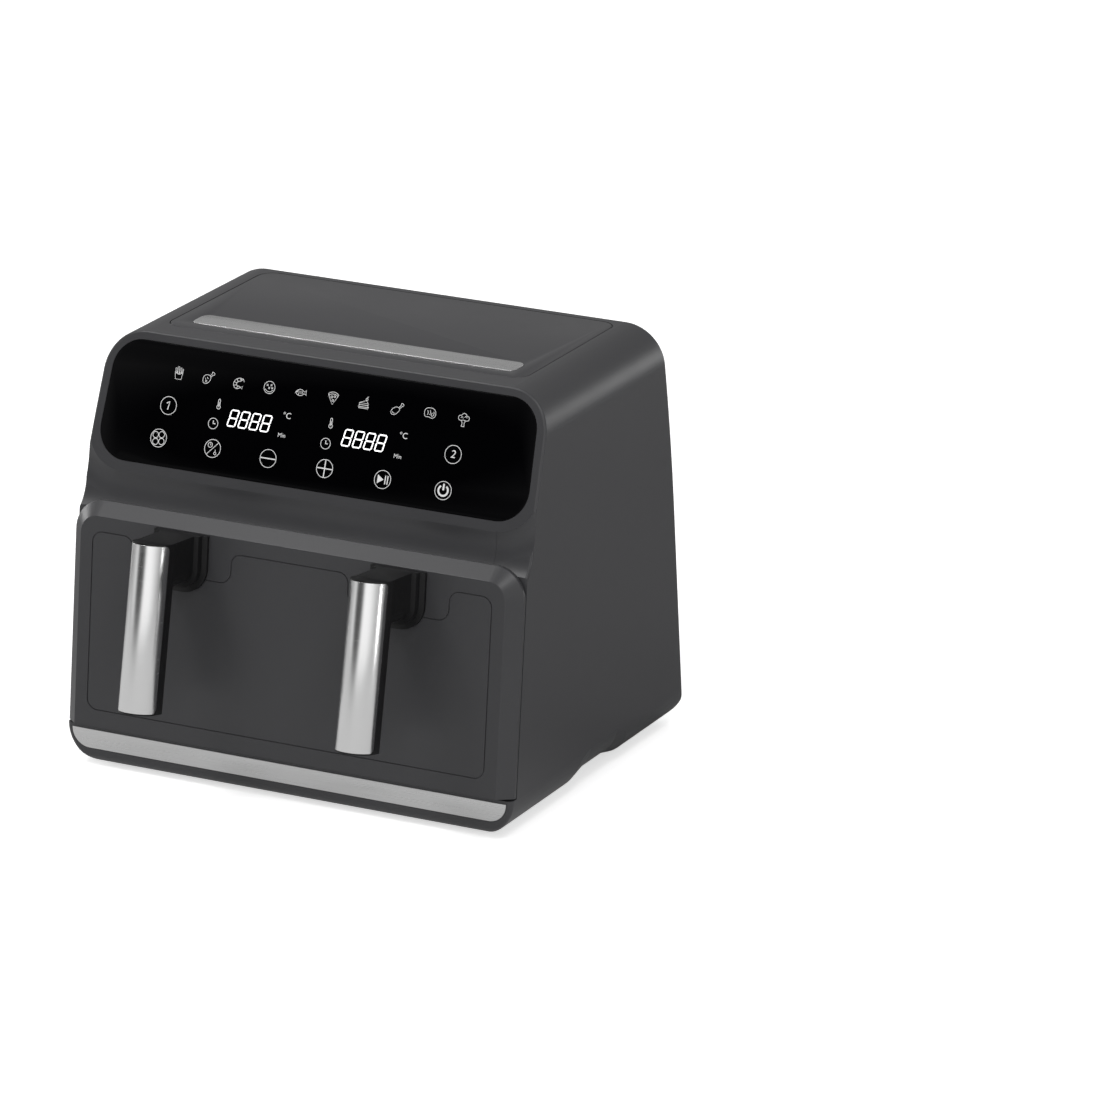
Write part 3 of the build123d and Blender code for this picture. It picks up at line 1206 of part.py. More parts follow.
# Outside form of the pot, with its rim
with BuildPart() as pot_form:
    with BuildSketch(Plane.XY.offset(POT_TOP)):
        with Locations((0, (POT_FRONT + POT_BACK) / 2)):
            RectangleRounded(2 * POT_HALF_WIDTH, POT_BACK - POT_FRONT, POT_CORNER)
    extrude(amount=-POT_HEIGHT, taper=POT_DRAFT)
    fillet(pot_form.edges().group_by(Axis.Z)[0], POT_FLOOR_ROUND)
    with BuildSketch(Plane.XY.offset(POT_TOP)):
        with Locations((0, (POT_FRONT + POT_BACK) / 2)):
            RectangleRounded(
                2 * (POT_HALF_WIDTH + POT_RIM_WIDTH), POT_BACK - POT_FRONT + 2 * POT_RIM_WIDTH,
                POT_CORNER + POT_RIM_WIDTH,
            )
    extrude(amount=-POT_RIM_HEIGHT)
    fillet(pot_form.edges().group_by(Axis.Z)[-1], POT_RIM_ROUND)

# Space inside the pot
with BuildPart() as pot_inside:
    with BuildSketch(Plane.XY.offset(POT_TOP)):
        with Locations((0, (POT_FRONT + POT_BACK) / 2)):
            RectangleRounded(
                2 * (POT_HALF_WIDTH - POT_WALL), POT_BACK - POT_FRONT - 2 * POT_WALL,
                POT_CORNER - POT_WALL,
            )
    extrude(amount=-(POT_HEIGHT - POT_WALL), taper=POT_DRAFT)
    fillet(pot_inside.edges().group_by(Axis.Z)[0], POT_FLOOR_ROUND - POT_WALL)

# Rivets that hold the divider guides to the pot
POT_FLOOR = POT_TOP - POT_HEIGHT + POT_WALL
GUIDE_HIGH = POT_TOP - GUIDE_TOP_GAP
GUIDE_LOW = POT_FLOOR + GUIDE_BOTTOM_GAP
RIVET_Z = GUIDE_HIGH - RIVET_DROP
ENDS = {"front": -1, "rear": 1}
with BuildPart() as guide_rivets:
    for end in ENDS.values():
        wall_plane = Plane(
            origin=(0, pot_wall_y(RIVET_Z, POT_WALL + GUIDE_PLATE, end), RIVET_Z),
            x_dir=(1, 0, 0),
            z_dir=(0, -end * cos(radians(POT_DRAFT)), sin(radians(POT_DRAFT))),
        )
        with BuildSketch(wall_plane):
            with GridLocations(2 * RIVET_X, 1, 2, 1):
                Circle(RIVET_RADIUS)
        extrude(amount=RIVET_HEAD)
        with BuildSketch(wall_plane):
            with GridLocations(2 * RIVET_X, 1, 2, 1):
                Circle(RIVET_SHANK)
        extrude(amount=-(GUIDE_PLATE + POT_WALL) * cos(radians(POT_DRAFT)))
guide_rivets.part.label = "guide_rivets"
export_step(guide_rivets.part, "parts/guide_rivets.step")

# Non-stick pot of the drawer
with BuildPart() as drawer_pot:
    add(pot_form.part)
    add(pot_inside.part, mode=Mode.SUBTRACT)
    add(guide_rivets.part, mode=Mode.SUBTRACT)
drawer_pot.part.label = "drawer_pot"
export_step(drawer_pot.part, "parts/drawer_pot.step")

# Drawer front: bevelled top and sides, hollow behind
with BuildPart() as drawer_front:
    with BuildSketch(DRAWER_PLANE.offset(DRAWER_BACK)) as front_face:
        with Locations((0, DRAWER_HEIGHT / 2)):
            Rectangle(2 * BODY_HALF_WIDTH, DRAWER_HEIGHT)
        fillet(front_face.vertices().group_by(Axis.Y)[-1], DRAWER_CORNER)
    extrude(amount=-DRAWER_BACK)
    out_axis = Axis((0, 0, 0), DRAWER_PLANE.z_dir)
    up_axis = Axis((0, 0, 0), DRAWER_PLANE.y_dir)
    bevel_edges = drawer_front.edges().group_by(out_axis)[-1].sort_by(up_axis)[1:]
    chamfer(bevel_edges, DRAWER_CHAMFER)
    edge_levels = drawer_front.edges().group_by(out_axis)
    soft_edges = edge_levels[-1].sort_by(up_axis)[1:] + edge_levels[2]
    fillet(soft_edges, DRAWER_SOFT)
    # hollow behind the face
    with BuildSketch(DRAWER_PLANE.offset(DRAWER_BACK)):
        with Locations((0, DRAWER_HEIGHT / 2)):
            RectangleRounded(
                2 * (BODY_HALF_WIDTH - DRAWER_RIM), DRAWER_HEIGHT - 2 * DRAWER_RIM,
                DRAWER_CORNER - DRAWER_RIM,
            )
    extrude(amount=-DRAWER_BACK - DRAWER_SKIN, mode=Mode.SUBTRACT)
    # fine outline groove, stepped down under each handle collar
    with BuildSketch(DRAWER_PLANE) as outline_groove:
        with BuildLine():
            side_x = BODY_HALF_WIDTH - OUTLINE_SIDE
            top_v = DRAWER_HEIGHT - OUTLINE_TOP
            dip_v = top_v - OUTLINE_DIP
            near_x = HANDLE_X - OUTLINE_DIP_HALF
            far_x = HANDLE_X + OUTLINE_DIP_HALF
            Polyline(
                (0, OUTLINE_BOTTOM), (side_x, OUTLINE_BOTTOM), (side_x, top_v), (far_x, top_v),
                (far_x, dip_v), (near_x, dip_v), (near_x, top_v), (0, top_v),
            )
            mirror(about=Plane.YZ)
        make_face()
        fillet(outline_groove.vertices().filter_by(lambda v: abs(v.X) > PICK_MARGIN), OUTLINE_RADIUS)
        offset(amount=-OUTLINE_WIDTH, mode=Mode.SUBTRACT)
    extrude(amount=-OUTLINE_DEPTH, mode=Mode.SUBTRACT)
    # screw holes for the handles
    with BuildSketch(DRAWER_PLANE):
        with Locations((-HANDLE_X, ARM_MIDDLE), (HANDLE_X, ARM_MIDDLE)):
            with GridLocations(1, HANDLE_SCREW_PITCH, 1, 2):
                Circle(SCREW_RADIUS)
    extrude(amount=-DRAWER_SKIN, mode=Mode.SUBTRACT)
drawer_front.part.label = "drawer_front"
export_step(drawer_front.part, "parts/drawer_front.step")

# Inner moulding that joins the pot to the drawer front
with BuildPart() as drawer_carrier:
    with BuildSketch(Plane.YZ):
        with BuildLine():
            carrier_low = LINER_FLOOR + CARRIER_BOTTOM_GAP
            carrier_high = LINER_CEILING - CARRIER_TOP_GAP
            Polyline(
                lean_at(carrier_high, DRAWER_BACK),
                lean_at(carrier_low, DRAWER_BACK),
                (POT_FRONT + CARRIER_LAP, carrier_low),
                (POT_FRONT + CARRIER_LAP, carrier_high),
                close=True,
            )
        make_face()
    extrude(amount=LINER_HALF_WIDTH - CARRIER_SIDE_GAP, both=True)
    add(pot_form.part, mode=Mode.SUBTRACT)
    with Locations((0, POT_FRONT + POT_CORNER, POT_TOP)):
        Box(
            2 * POT_HALF_WIDTH, 2 * POT_CORNER, POT_HEIGHT,
            align=(Align.CENTER, Align.CENTER, Align.MIN), mode=Mode.SUBTRACT,
        )
    # hollow behind the drawer front
    with BuildSketch(Plane.YZ):
        with BuildLine():
            pocket_back = POT_FRONT - POT_RIM_WIDTH - CARRIER_WALL
            Polyline(
                lean_at(carrier_low + CARRIER_WALL, DRAWER_BACK + CARRIER_WALL),
                (pocket_back, carrier_low + CARRIER_WALL),
                (pocket_back, carrier_high - CARRIER_WALL),
                lean_at(carrier_high - CARRIER_WALL, DRAWER_BACK + CARRIER_WALL),
                close=True,
            )
        make_face()
    extrude(
        amount=LINER_HALF_WIDTH - CARRIER_SIDE_GAP - CARRIER_WALL, both=True, mode=Mode.SUBTRACT
    )
drawer_carrier.part.label = "drawer_carrier"
export_step(drawer_carrier.part, "parts/drawer_carrier.step")

# Handles: a moulded core on an arm, faced with a half-round metal cover
handle_dir = (0, -sin(radians(HANDLE_TILT)), -cos(radians(HANDLE_TILT)))
with BuildPart() as handle_screws:
    with BuildSketch(DRAWER_PLANE.offset(-DRAWER_SKIN)):
        with Locations((-HANDLE_X, ARM_MIDDLE), (HANDLE_X, ARM_MIDDLE)):
            with GridLocations(1, HANDLE_SCREW_PITCH, 1, 2):
                Circle(SCREW_RADIUS)
    extrude(amount=HANDLE_SCREW_LENGTH)
    with BuildSketch(DRAWER_PLANE.offset(-DRAWER_SKIN)):
        with Locations((-HANDLE_X, ARM_MIDDLE), (HANDLE_X, ARM_MIDDLE)):
            with GridLocations(1, HANDLE_SCREW_PITCH, 1, 2):
                Circle(SCREW_HEAD_RADIUS)
    extrude(amount=-SCREW_HEAD_HEIGHT)
handle_screws.part.label = "handle_screws"
export_step(handle_screws.part, "parts/handle_screws.step")

for side, sign in SIDES.items():
    grip_plane = Plane(
        origin=(sign * HANDLE_X, HANDLE_TOP_Y, HANDLE_TOP_Z), x_dir=(1, 0, 0), z_dir=handle_dir
    )

    with BuildPart() as handle_cover:
        with BuildSketch(grip_plane.offset(COVER_END)):
            Circle(COVER_RADIUS)
            Circle(COVER_RADIUS - COVER_SHEET, mode=Mode.SUBTRACT)
            with Locations((0, -COVER_RADIUS)):
                Rectangle(4 * COVER_RADIUS, 2 * COVER_RADIUS, mode=Mode.SUBTRACT)
        extrude(amount=HANDLE_LENGTH - 2 * COVER_END)
        fillet(handle_cover.edges().filter_by(Axis.X), COVER_CORNER_ROUND)
    handle_cover.part.label = f"handle_cover_{side}"
    export_step(handle_cover.part, f"parts/handle_cover_{side}.step")

    with BuildPart() as handle_core:
        # grip behind the cover
        with BuildSketch(grip_plane) as grip_section:
            Circle(COVER_RADIUS)
            with Locations((0, -GRIP_BACK / 2)):
                Rectangle(2 * COVER_RADIUS, GRIP_BACK)
            fillet(grip_section.vertices().group_by(Axis.Y)[0], GRIP_ROUND)
        extrude(amount=HANDLE_LENGTH)
        # stepped collar on the drawer face and arm out to the grip
        for margin, thickness in ARM_STEPS:
            with BuildSketch(DRAWER_PLANE) as step_face:
                with Locations((sign * HANDLE_X, ARM_TOP)):
                    Rectangle(
                        2 * (ARM_HALF_WIDTH + margin), ARM_HEIGHT + margin,
                        align=(Align.CENTER, Align.MAX),
                    )
                fillet(step_face.vertices().group_by(Axis.Y)[0], ARM_ROUND + margin)
            extrude(amount=thickness)
        # curved web under the arm
        with BuildSketch(Plane.YZ.offset(sign * HANDLE_X)):
            with BuildLine():
                web_root = lean(ARM_TOP - ARM_HEIGHT + GUSSET_RISE, ARM_REACH - GUSSET_LENGTH)
                web_top = lean(ARM_MIDDLE, GUSSET_REACH)
                web_tip = lean(ARM_TOP - ARM_HEIGHT - GUSSET_DROP, GUSSET_REACH + GUSSET_SAG)
                Line(web_root, web_top)
                Line(web_top, web_tip)
                SagittaArc(web_tip, web_root, GUSSET_SAG)
            make_face()
        extrude(amount=GUSSET_HALF_WIDTH, both=True)
        add(handle_cover.part, mode=Mode.SUBTRACT)
        add(handle_screws.part, mode=Mode.SUBTRACT)
    handle_core.part.label = f"handle_core_{side}"
    export_step(handle_core.part, f"parts/handle_core_{side}.step")

# Guides for the divider on the front and back walls of the pot
SLOT_HALF = DIVIDER_THICKNESS / 2 + DIVIDER_SLOT_GAP
for place, end in ENDS.items():
    with BuildPart() as divider_guide:
        with BuildSketch(Plane.YZ):
            with BuildLine():
                Polyline(
                    (pot_wall_y(GUIDE_LOW, POT_WALL, end), GUIDE_LOW),
                    (pot_wall_y(GUIDE_HIGH, POT_WALL, end), GUIDE_HIGH),
                    (pot_wall_y(GUIDE_HIGH, POT_WALL + GUIDE_PLATE, end), GUIDE_HIGH),
                    (pot_wall_y(GUIDE_LOW, POT_WALL + GUIDE_PLATE, end), GUIDE_LOW),
                    close=True,
                )
            make_face()
        extrude(amount=GUIDE_WIDTH / 2, both=True)
        for sign in SIDES.values():
            with BuildSketch(Plane.YZ.offset(sign * SLOT_HALF)):
                with BuildLine():
                    Polyline(
                        (pot_wall_y(GUIDE_LOW, POT_WALL, end), GUIDE_LOW),
                        (pot_wall_y(GUIDE_HIGH, POT_WALL, end), GUIDE_HIGH),
                        (pot_wall_y(GUIDE_HIGH, POT_WALL + GUIDE_DEPTH, end), GUIDE_HIGH),
                        (pot_wall_y(GUIDE_LOW, POT_WALL + GUIDE_DEPTH, end), GUIDE_LOW),
                        close=True,
                    )
                make_face()
            extrude(amount=sign * GUIDE_RIB)
        add(guide_rivets.part, mode=Mode.SUBTRACT)
    divider_guide.part.label = f"divider_guide_{place}"
    export_step(divider_guide.part, f"parts/divider_guide_{place}.step")

# Divider that parts the pot into two zones
DIVIDER_INSET = POT_WALL + GUIDE_PLATE + DIVIDER_GAP
with BuildPart() as divider:
    with BuildSketch(Plane.YZ):
        with BuildLine():
            low = POT_FLOOR + DIVIDER_FLOOR_GAP
            high = POT_TOP - DIVIDER_TOP_DROP
            shoulder = low + DIVIDER_CORNER_CUT
            Polyline(
                (pot_wall_y(shoulder, DIVIDER_INSET, -1), shoulder),
                (pot_wall_y(low, DIVIDER_INSET, -1) + DIVIDER_CORNER_CUT, low),
                (pot_wall_y(low, DIVIDER_INSET, 1) - DIVIDER_CORNER_CUT, low),
                (pot_wall_y(shoulder, DIVIDER_INSET, 1), shoulder),
                (pot_wall_y(high, DIVIDER_INSET, 1), high),
                (pot_wall_y(high, DIVIDER_INSET, -1), high),
                close=True,
            )
        make_face()
    extrude(amount=DIVIDER_THICKNESS / 2, both=True)
    with BuildSketch(Plane.YZ):
        with BuildLine():
            hem_low = high - DIVIDER_HEM_HEIGHT
            Polyline(
                (pot_wall_y(hem_low, DIVIDER_INSET, -1), hem_low),
                (pot_wall_y(hem_low, DIVIDER_INSET, 1), hem_low),
                (pot_wall_y(high, DIVIDER_INSET, 1), high),
                (pot_wall_y(high, DIVIDER_INSET, -1), high),
                close=True,
            )
        make_face()
    extrude(amount=DIVIDER_HEM_WIDTH / 2, both=True)
divider.part.label = "divider"
export_step(divider.part, "parts/divider.step")

# Crisper plates with silicone bumpers, one on each side of the divider
FLOOR_DRAFT = (POT_HEIGHT - POT_WALL) * tan(radians(POT_DRAFT))
PLATE_OUTER_EDGE = POT_HALF_WIDTH - POT_WALL - FLOOR_DRAFT - PLATE_EDGE_GAP
PLATE_FRONT = POT_FRONT + POT_WALL + FLOOR_DRAFT + PLATE_EDGE_GAP
PLATE_BACK = POT_BACK - POT_WALL - FLOOR_DRAFT - PLATE_EDGE_GAP
PLATE_LOW = POT_FLOOR + PLATE_FLOOR_GAP
PLATE_HIGH = PLATE_LOW + PLATE_SKIRT
for side, sign in SIDES.items():
    middle_x = sign * (PLATE_INNER_EDGE + PLATE_OUTER_EDGE) / 2
    middle_y = (PLATE_FRONT + PLATE_BACK) / 2

    with BuildPart() as crisper_plate:
        with BuildSketch(Plane.XY.offset(PLATE_LOW)) as plate_outline:
            with Locations((middle_x, middle_y)):
                Rectangle(PLATE_OUTER_EDGE - PLATE_INNER_EDGE, PLATE_BACK - PLATE_FRONT)
            corners = plate_outline.vertices().sort_by(lambda v: abs(v.X))
            fillet(corners[2:], PLATE_CORNER)
            corners = plate_outline.vertices().group_by(lambda v: round(abs(v.X)))[0]
            fillet(corners, PLATE_INNER_CORNER)
        extrude(amount=PLATE_SKIRT)
        plate_top = crisper_plate.edges().group_by(Axis.Z)[-1]
        fillet(plate_top, PLATE_ROUND)
        with BuildSketch(Plane.XY.offset(PLATE_LOW)):
            add(plate_outline.sketch_local)
            offset(amount=-PLATE_THICKNESS, mode=Mode.REPLACE)
        extrude(amount=PLATE_SKIRT - PLATE_THICKNESS, mode=Mode.SUBTRACT)
        with BuildSketch(Plane.XY.offset(PLATE_HIGH)):
            with Locations((middle_x, middle_y)):
                with GridLocations(
                    PLATE_HOLE_PITCH, PLATE_HOLE_PITCH, PLATE_HOLE_COLUMNS, PLATE_HOLE_ROWS
                ):
                    Circle(PLATE_HOLE_RADIUS)
        extrude(amount=-PLATE_THICKNESS, mode=Mode.SUBTRACT)
    crisper_plate.part.label = f"crisper_plate_{side}"
    export_step(crisper_plate.part, f"parts/crisper_plate_{side}.step")

    with BuildPart() as crisper_bumpers:
        bumper_depth = PLATE_EDGE_GAP - BUMPER_GAP
        bumper_z = PLATE_HIGH + BUMPER_RISE
        with Locations((middle_x, PLATE_FRONT, bumper_z)):
            Box(
                BUMPER_LENGTH, bumper_depth, BUMPER_HEIGHT,
                align=(Align.CENTER, Align.MAX, Align.MAX),
            )
        with Locations((middle_x, PLATE_BACK, bumper_z)):
            Box(
                BUMPER_LENGTH, bumper_depth, BUMPER_HEIGHT,
                align=(Align.CENTER, Align.MIN, Align.MAX),
            )
        outward = Align.MIN if sign > 0 else Align.MAX
        for along in SIDES.values():
            with Locations((sign * PLATE_OUTER_EDGE, middle_y + along * BUMPER_SPACING / 2, bumper_z)):
                Box(
                    bumper_depth, BUMPER_LENGTH, BUMPER_HEIGHT,
                    align=(outward, Align.CENTER, Align.MAX),
                )
    crisper_bumpers.part.label = f"crisper_bumpers_{side}"
    export_step(crisper_bumpers.part, f"parts/crisper_bumpers_{side}.step")
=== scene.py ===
"""Looks, light and camera of a twin-zone air fryer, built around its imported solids."""

import json
import logging
import math
from dataclasses import dataclass, field
from enum import Enum
from typing import Any, Sequence

import bmesh
import bpy
from mathutils import Matrix, Vector

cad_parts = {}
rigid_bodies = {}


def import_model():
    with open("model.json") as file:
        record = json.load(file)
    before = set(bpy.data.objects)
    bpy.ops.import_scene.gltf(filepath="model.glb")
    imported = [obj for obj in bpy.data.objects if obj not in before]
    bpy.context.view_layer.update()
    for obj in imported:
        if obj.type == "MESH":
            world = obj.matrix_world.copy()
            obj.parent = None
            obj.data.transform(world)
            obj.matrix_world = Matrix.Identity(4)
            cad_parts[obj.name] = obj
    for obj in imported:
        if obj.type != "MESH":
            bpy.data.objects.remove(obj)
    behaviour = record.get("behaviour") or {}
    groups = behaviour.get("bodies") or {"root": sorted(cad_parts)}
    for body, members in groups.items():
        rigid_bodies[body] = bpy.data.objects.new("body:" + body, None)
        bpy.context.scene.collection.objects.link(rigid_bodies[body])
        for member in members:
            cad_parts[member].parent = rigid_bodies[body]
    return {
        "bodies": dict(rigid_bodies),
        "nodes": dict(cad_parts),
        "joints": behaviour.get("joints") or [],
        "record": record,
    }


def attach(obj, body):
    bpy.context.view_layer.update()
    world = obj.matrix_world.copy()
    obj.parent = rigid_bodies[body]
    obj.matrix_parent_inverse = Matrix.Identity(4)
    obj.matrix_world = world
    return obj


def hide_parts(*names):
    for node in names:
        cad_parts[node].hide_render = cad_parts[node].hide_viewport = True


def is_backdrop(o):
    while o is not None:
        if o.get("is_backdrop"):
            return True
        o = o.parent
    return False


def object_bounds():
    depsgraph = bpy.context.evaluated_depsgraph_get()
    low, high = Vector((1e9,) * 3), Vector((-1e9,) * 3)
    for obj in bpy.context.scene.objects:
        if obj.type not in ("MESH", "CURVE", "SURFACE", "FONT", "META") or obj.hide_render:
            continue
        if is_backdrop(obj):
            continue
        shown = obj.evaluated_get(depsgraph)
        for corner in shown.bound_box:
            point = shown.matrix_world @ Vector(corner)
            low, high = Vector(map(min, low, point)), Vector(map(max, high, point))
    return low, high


log = logging.getLogger("air_fryer")

MM = 0.001
Point = tuple[float, float]
Colour = tuple[float, float, float, float]
Place = tuple[float, float, float]
SIDES = ("left", "right")

# how near points are merged, which faces are one flat, and which edges are sharp
MERGE_GAP = 0.001 * MM
FLAT_ANGLE = math.radians(0.1)
SHARP_ANGLE = math.radians(30)
# how far a print stands off the glass in mm, and how flat its round lines are pressed
PRINT_RISE = 0.03
PRINT_FLATNESS = 0.1


def linear(colour: str) -> Colour:
    """Turns an sRGB hex colour to Blender's linear one.

    Args:
        colour: six hex digits after a hash sign.

    Returns:
        Linear red, green, blue and an alpha of 1.
    """
    parts = [int(colour[i : i + 2], 16) / 255 for i in (1, 3, 5)]
    red, green, blue = (p / 12.92 if p <= 0.04045 else ((p + 0.055) / 1.055) ** 2.4 for p in parts)
    return (red, green, blue, 1.0)


def shaded(colour: str, share: float) -> Colour:
    """Gives a colour made lighter or darker.

    Args:
        colour: sRGB hex colour.
        share: factor on its linear value.

    Returns:
        The linear colour.
    """
    red, green, blue, _ = linear(colour)
    return (red * share, green * share, blue * share, 1.0)


def add_node(
    tree: bpy.types.NodeTree, kind: str, inputs: dict[Any, Any] | None = None, **settings: Any
) -> bpy.types.Node:
    """Adds one node with its settings and links.

    Args:
        tree: node tree of a material or of the world.
        kind: Blender's name of the node type.
        inputs: socket name or number, each with a value or with the output socket that feeds it.
        settings: properties of the node itself.

    Returns:
        The new node.
    """
    node = tree.nodes.new(kind)
    for name, value in settings.items():
        setattr(node, name, value)
    for key, value in (inputs or {}).items():
        if isinstance(value, bpy.types.NodeSocket):
            tree.links.new(value, node.inputs[key])
        else:
            node.inputs[key].default_value = value
    return node


class Slot(Enum):
    """Material slots of the record."""

    BODY = "body_plastic"
    INNER = "inner_plastic"
    HANDLE = "handle_plastic"
    TRIM = "trim_steel"
    GLASS = "panel_glass"
    FEET = "rubber_feet"
    SCREW = "screw_steel"
    BOARD = "circuit_board"
    DISPLAY = "display_plastic"
    POSTS = "board_posts"
    CAVITY = "cavity_steel"
    RAIL = "rail_plastic"
    ELEMENT = "element_steel"
    HOT_FAN = "fan_aluminium"
    COOL_FAN = "fan_plastic"
    MOTOR = "motor_metal"
    THERMOSTAT = "thermostat_ceramic"
    POT = "nonstick_pot"
    PLATE = "nonstick_plate"
    SILICONE = "silicone"


class Lay(Enum):
    """Which way the lines of a worked metal run, as stretch factors along X, Y and Z."""

    ALONG_X = (0.012, 1.0, 1.0)
    AROUND = (0.02, 0.02, 1.0)
    ALONG_Z = (1.0, 1.0, 0.02)
    EVERY_WAY = (1.0, 1.0, 1.0)


@dataclass(frozen=True)
class Finish:
    """A real material with the surface that its making left.

    Attributes:
        name: common name of the material and its surface.
        colour: sRGB hex colour.
        roughness: middle roughness.
        metallic: 1 for bare metal.
        ior: index of refraction.
        specular: level of the clear reflection.
    """

    name: str
    colour: str
    roughness: float
    metallic: float = 0.0
    ior: float = 1.5
    specular: float = 0.5

    def material(self) -> bpy.types.Material:
        """Makes the material with its pattern.

        Returns:
            The new material, named for the finish.
        """
        made = bpy.data.materials.new(self.name)
        made.use_nodes = True
        tree = made.node_tree
        shader = tree.nodes["Principled BSDF"]
        shader.inputs["Base Color"].default_value = linear(self.colour)
        shader.inputs["Roughness"].default_value = self.roughness
        shader.inputs["Metallic"].default_value = self.metallic
        shader.inputs["IOR"].default_value = self.ior
        shader.inputs["Specular IOR Level"].default_value = self.specular
        place = add_node(tree, "ShaderNodeTexCoord").outputs["Object"]
        self.pattern(tree, shader, place)
        return made

    def pattern(
        self, tree: bpy.types.NodeTree, shader: bpy.types.Node, place: bpy.types.NodeSocket
    ) -> None:
        """Adds the surface pattern; a plain finish has none."""

    def vary(
        self,
        tree: bpy.types.NodeTree,
        shader: bpy.types.Node,
        pattern: bpy.types.NodeSocket,
        tint: float,
        gloss: float,
    ) -> None:
        """Lets a pattern change colour and roughness.

        Args:
            tree: node tree of the material.
            shader: its surface shader.
            pattern: value from 0 to 1 over the surface.
            tint: share of lightness either way.
            gloss: roughness either way.
        """
        colour = add_node(
            tree,
            "ShaderNodeMix",
            {0: pattern, 6: shaded(self.colour, 1 - tint), 7: shaded(self.colour, 1 + tint)},
            data_type="RGBA",
        )
        tree.links.new(colour.outputs[2], shader.inputs["Base Color"])
        rough = add_node(
            tree,
            "ShaderNodeMapRange",
            {
                "Value": pattern,
                "From Min": 0.25,
                "From Max": 0.75,
                "To Min": self.roughness - gloss,
                "To Max": self.roughness + gloss,
            },
        )
        tree.links.new(rough.outputs["Result"], shader.inputs["Roughness"])


@dataclass(frozen=True)
class Moulding(Finish):
    """Injection moulded plastic: a fine eroded grain and a slow drift of gloss.

    Attributes:
        grain: width of a grain in mm.
        depth: height of the grain in mm.
        tint: share by which the colour drifts.
        gloss: roughness drift.
        drift: width of the drift in mm.
    """

    grain: float = 0.6
    depth: float = 0.01
    tint: float = 0.06
    gloss: float = 0.04
    drift: float = 80.0

    def pattern(
        self, tree: bpy.types.NodeTree, shader: bpy.types.Node, place: bpy.types.NodeSocket
    ) -> None:
        """Adds the grain, drawn coarser than a real mould's so that it shows, and the drift."""
        fine = add_node(
            tree,
            "ShaderNodeTexNoise",
            {"Vector": place, "Scale": 1 / (self.grain * MM), "Detail": 2.0},
        )
        bump = add_node(
            tree,
            "ShaderNodeBump",
            {"Height": fine.outputs["Fac"], "Strength": 0.5, "Distance": self.depth * MM},
        )
        tree.links.new(bump.outputs["Normal"], shader.inputs["Normal"])
        slow = add_node(
            tree, "ShaderNodeTexNoise", {"Vector": place, "Scale": 1 / (self.drift * MM), "Detail": 3.0}
        )
        self.vary(tree, shader, slow.outputs["Fac"], self.tint, self.gloss)


@dataclass(frozen=True)
class Brushed(Finish):
    """Metal drawn over a grit belt, so that it carries fine lines one way.

    Attributes:
        lay: which way the lines run.
        line: width of a line in mm.
        depth: depth of a line in mm.
        tint: share of lightness between lines.
        gloss: roughness between lines.
    """

    lay: Lay = Lay.ALONG_X
    line: float = 0.7
    depth: float = 0.01
    tint: float = 0.08
    gloss: float = 0.06

    def pattern(
        self, tree: bpy.types.NodeTree, shader: bpy.types.Node, place: bpy.types.NodeSocket
    ) -> None:
        """Adds the lines, drawn coarser than real grit so that they show."""
        across = 1 / (self.line * MM)
        stretch = add_node(
            tree,
            "ShaderNodeMapping",
            {"Vector": place, "Scale": tuple(s * across for s in self.lay.value)},
        )
        lines = add_node(
            tree,
            "ShaderNodeTexNoise",
            {"Vector": stretch.outputs["Vector"], "Scale": 1.0, "Detail": 4.0, "Roughness": 0.65},
        )
        bump = add_node(
            tree,
            "ShaderNodeBump",
            {"Height": lines.outputs["Fac"], "Strength": 0.4, "Distance": self.depth * MM},
        )
        tree.links.new(bump.outputs["Normal"], shader.inputs["Normal"])
        self.vary(tree, shader, lines.outputs["Fac"], self.tint, self.gloss)


@dataclass(frozen=True)
class Coating(Finish):
    """Sprayed non-stick coat: near black with small pale flecks and a soft orange peel.

    Attributes:
        fleck: spacing of the flecks in mm.
        fleck_colour: sRGB hex colour of a fleck.
        fleck_rim: where a fleck starts to fade and where it ends, as shares of the spacing.
        peel: width of the orange peel in mm.
        peel_depth: its depth in mm.
    """

    fleck: float = 3.0
    fleck_colour: str = "#5a5a5c"
    fleck_rim: Point = (0.1, 0.18)
    peel: float = 1.6
    peel_depth: float = 0.02

    def pattern(
        self, tree: bpy.types.NodeTree, shader: bpy.types.Node, place: bpy.types.NodeSocket
    ) -> None:
        """Adds flecks and peel."""
        cells = add_node(
            tree, "ShaderNodeTexVoronoi", {"Vector": place, "Scale": 1 / (self.fleck * MM)}
        )
        spots = add_node(
            tree,
            "ShaderNodeMapRange",
            {
                "Value": cells.outputs["Distance"],
                "From Min": self.fleck_rim[0],
                "From Max": self.fleck_rim[1],
                "To Min": 1.0,
                "To Max": 0.0,
            },
        )
        colour = add_node(
            tree,
            "ShaderNodeMix",
            {0: spots.outputs["Result"], 6: linear(self.colour), 7: linear(self.fleck_colour)},
            data_type="RGBA",
        )
        tree.links.new(colour.outputs[2], shader.inputs["Base Color"])
        skin = add_node(
            tree, "ShaderNodeTexNoise", {"Vector": place, "Scale": 1 / (self.peel * MM), "Detail": 1.0}
        )
        bump = add_node(
            tree,
            "ShaderNodeBump",
            {"Height": skin.outputs["Fac"], "Strength": 0.4, "Distance": self.peel_depth * MM},
        )
        tree.links.new(bump.outputs["Normal"], shader.inputs["Normal"])


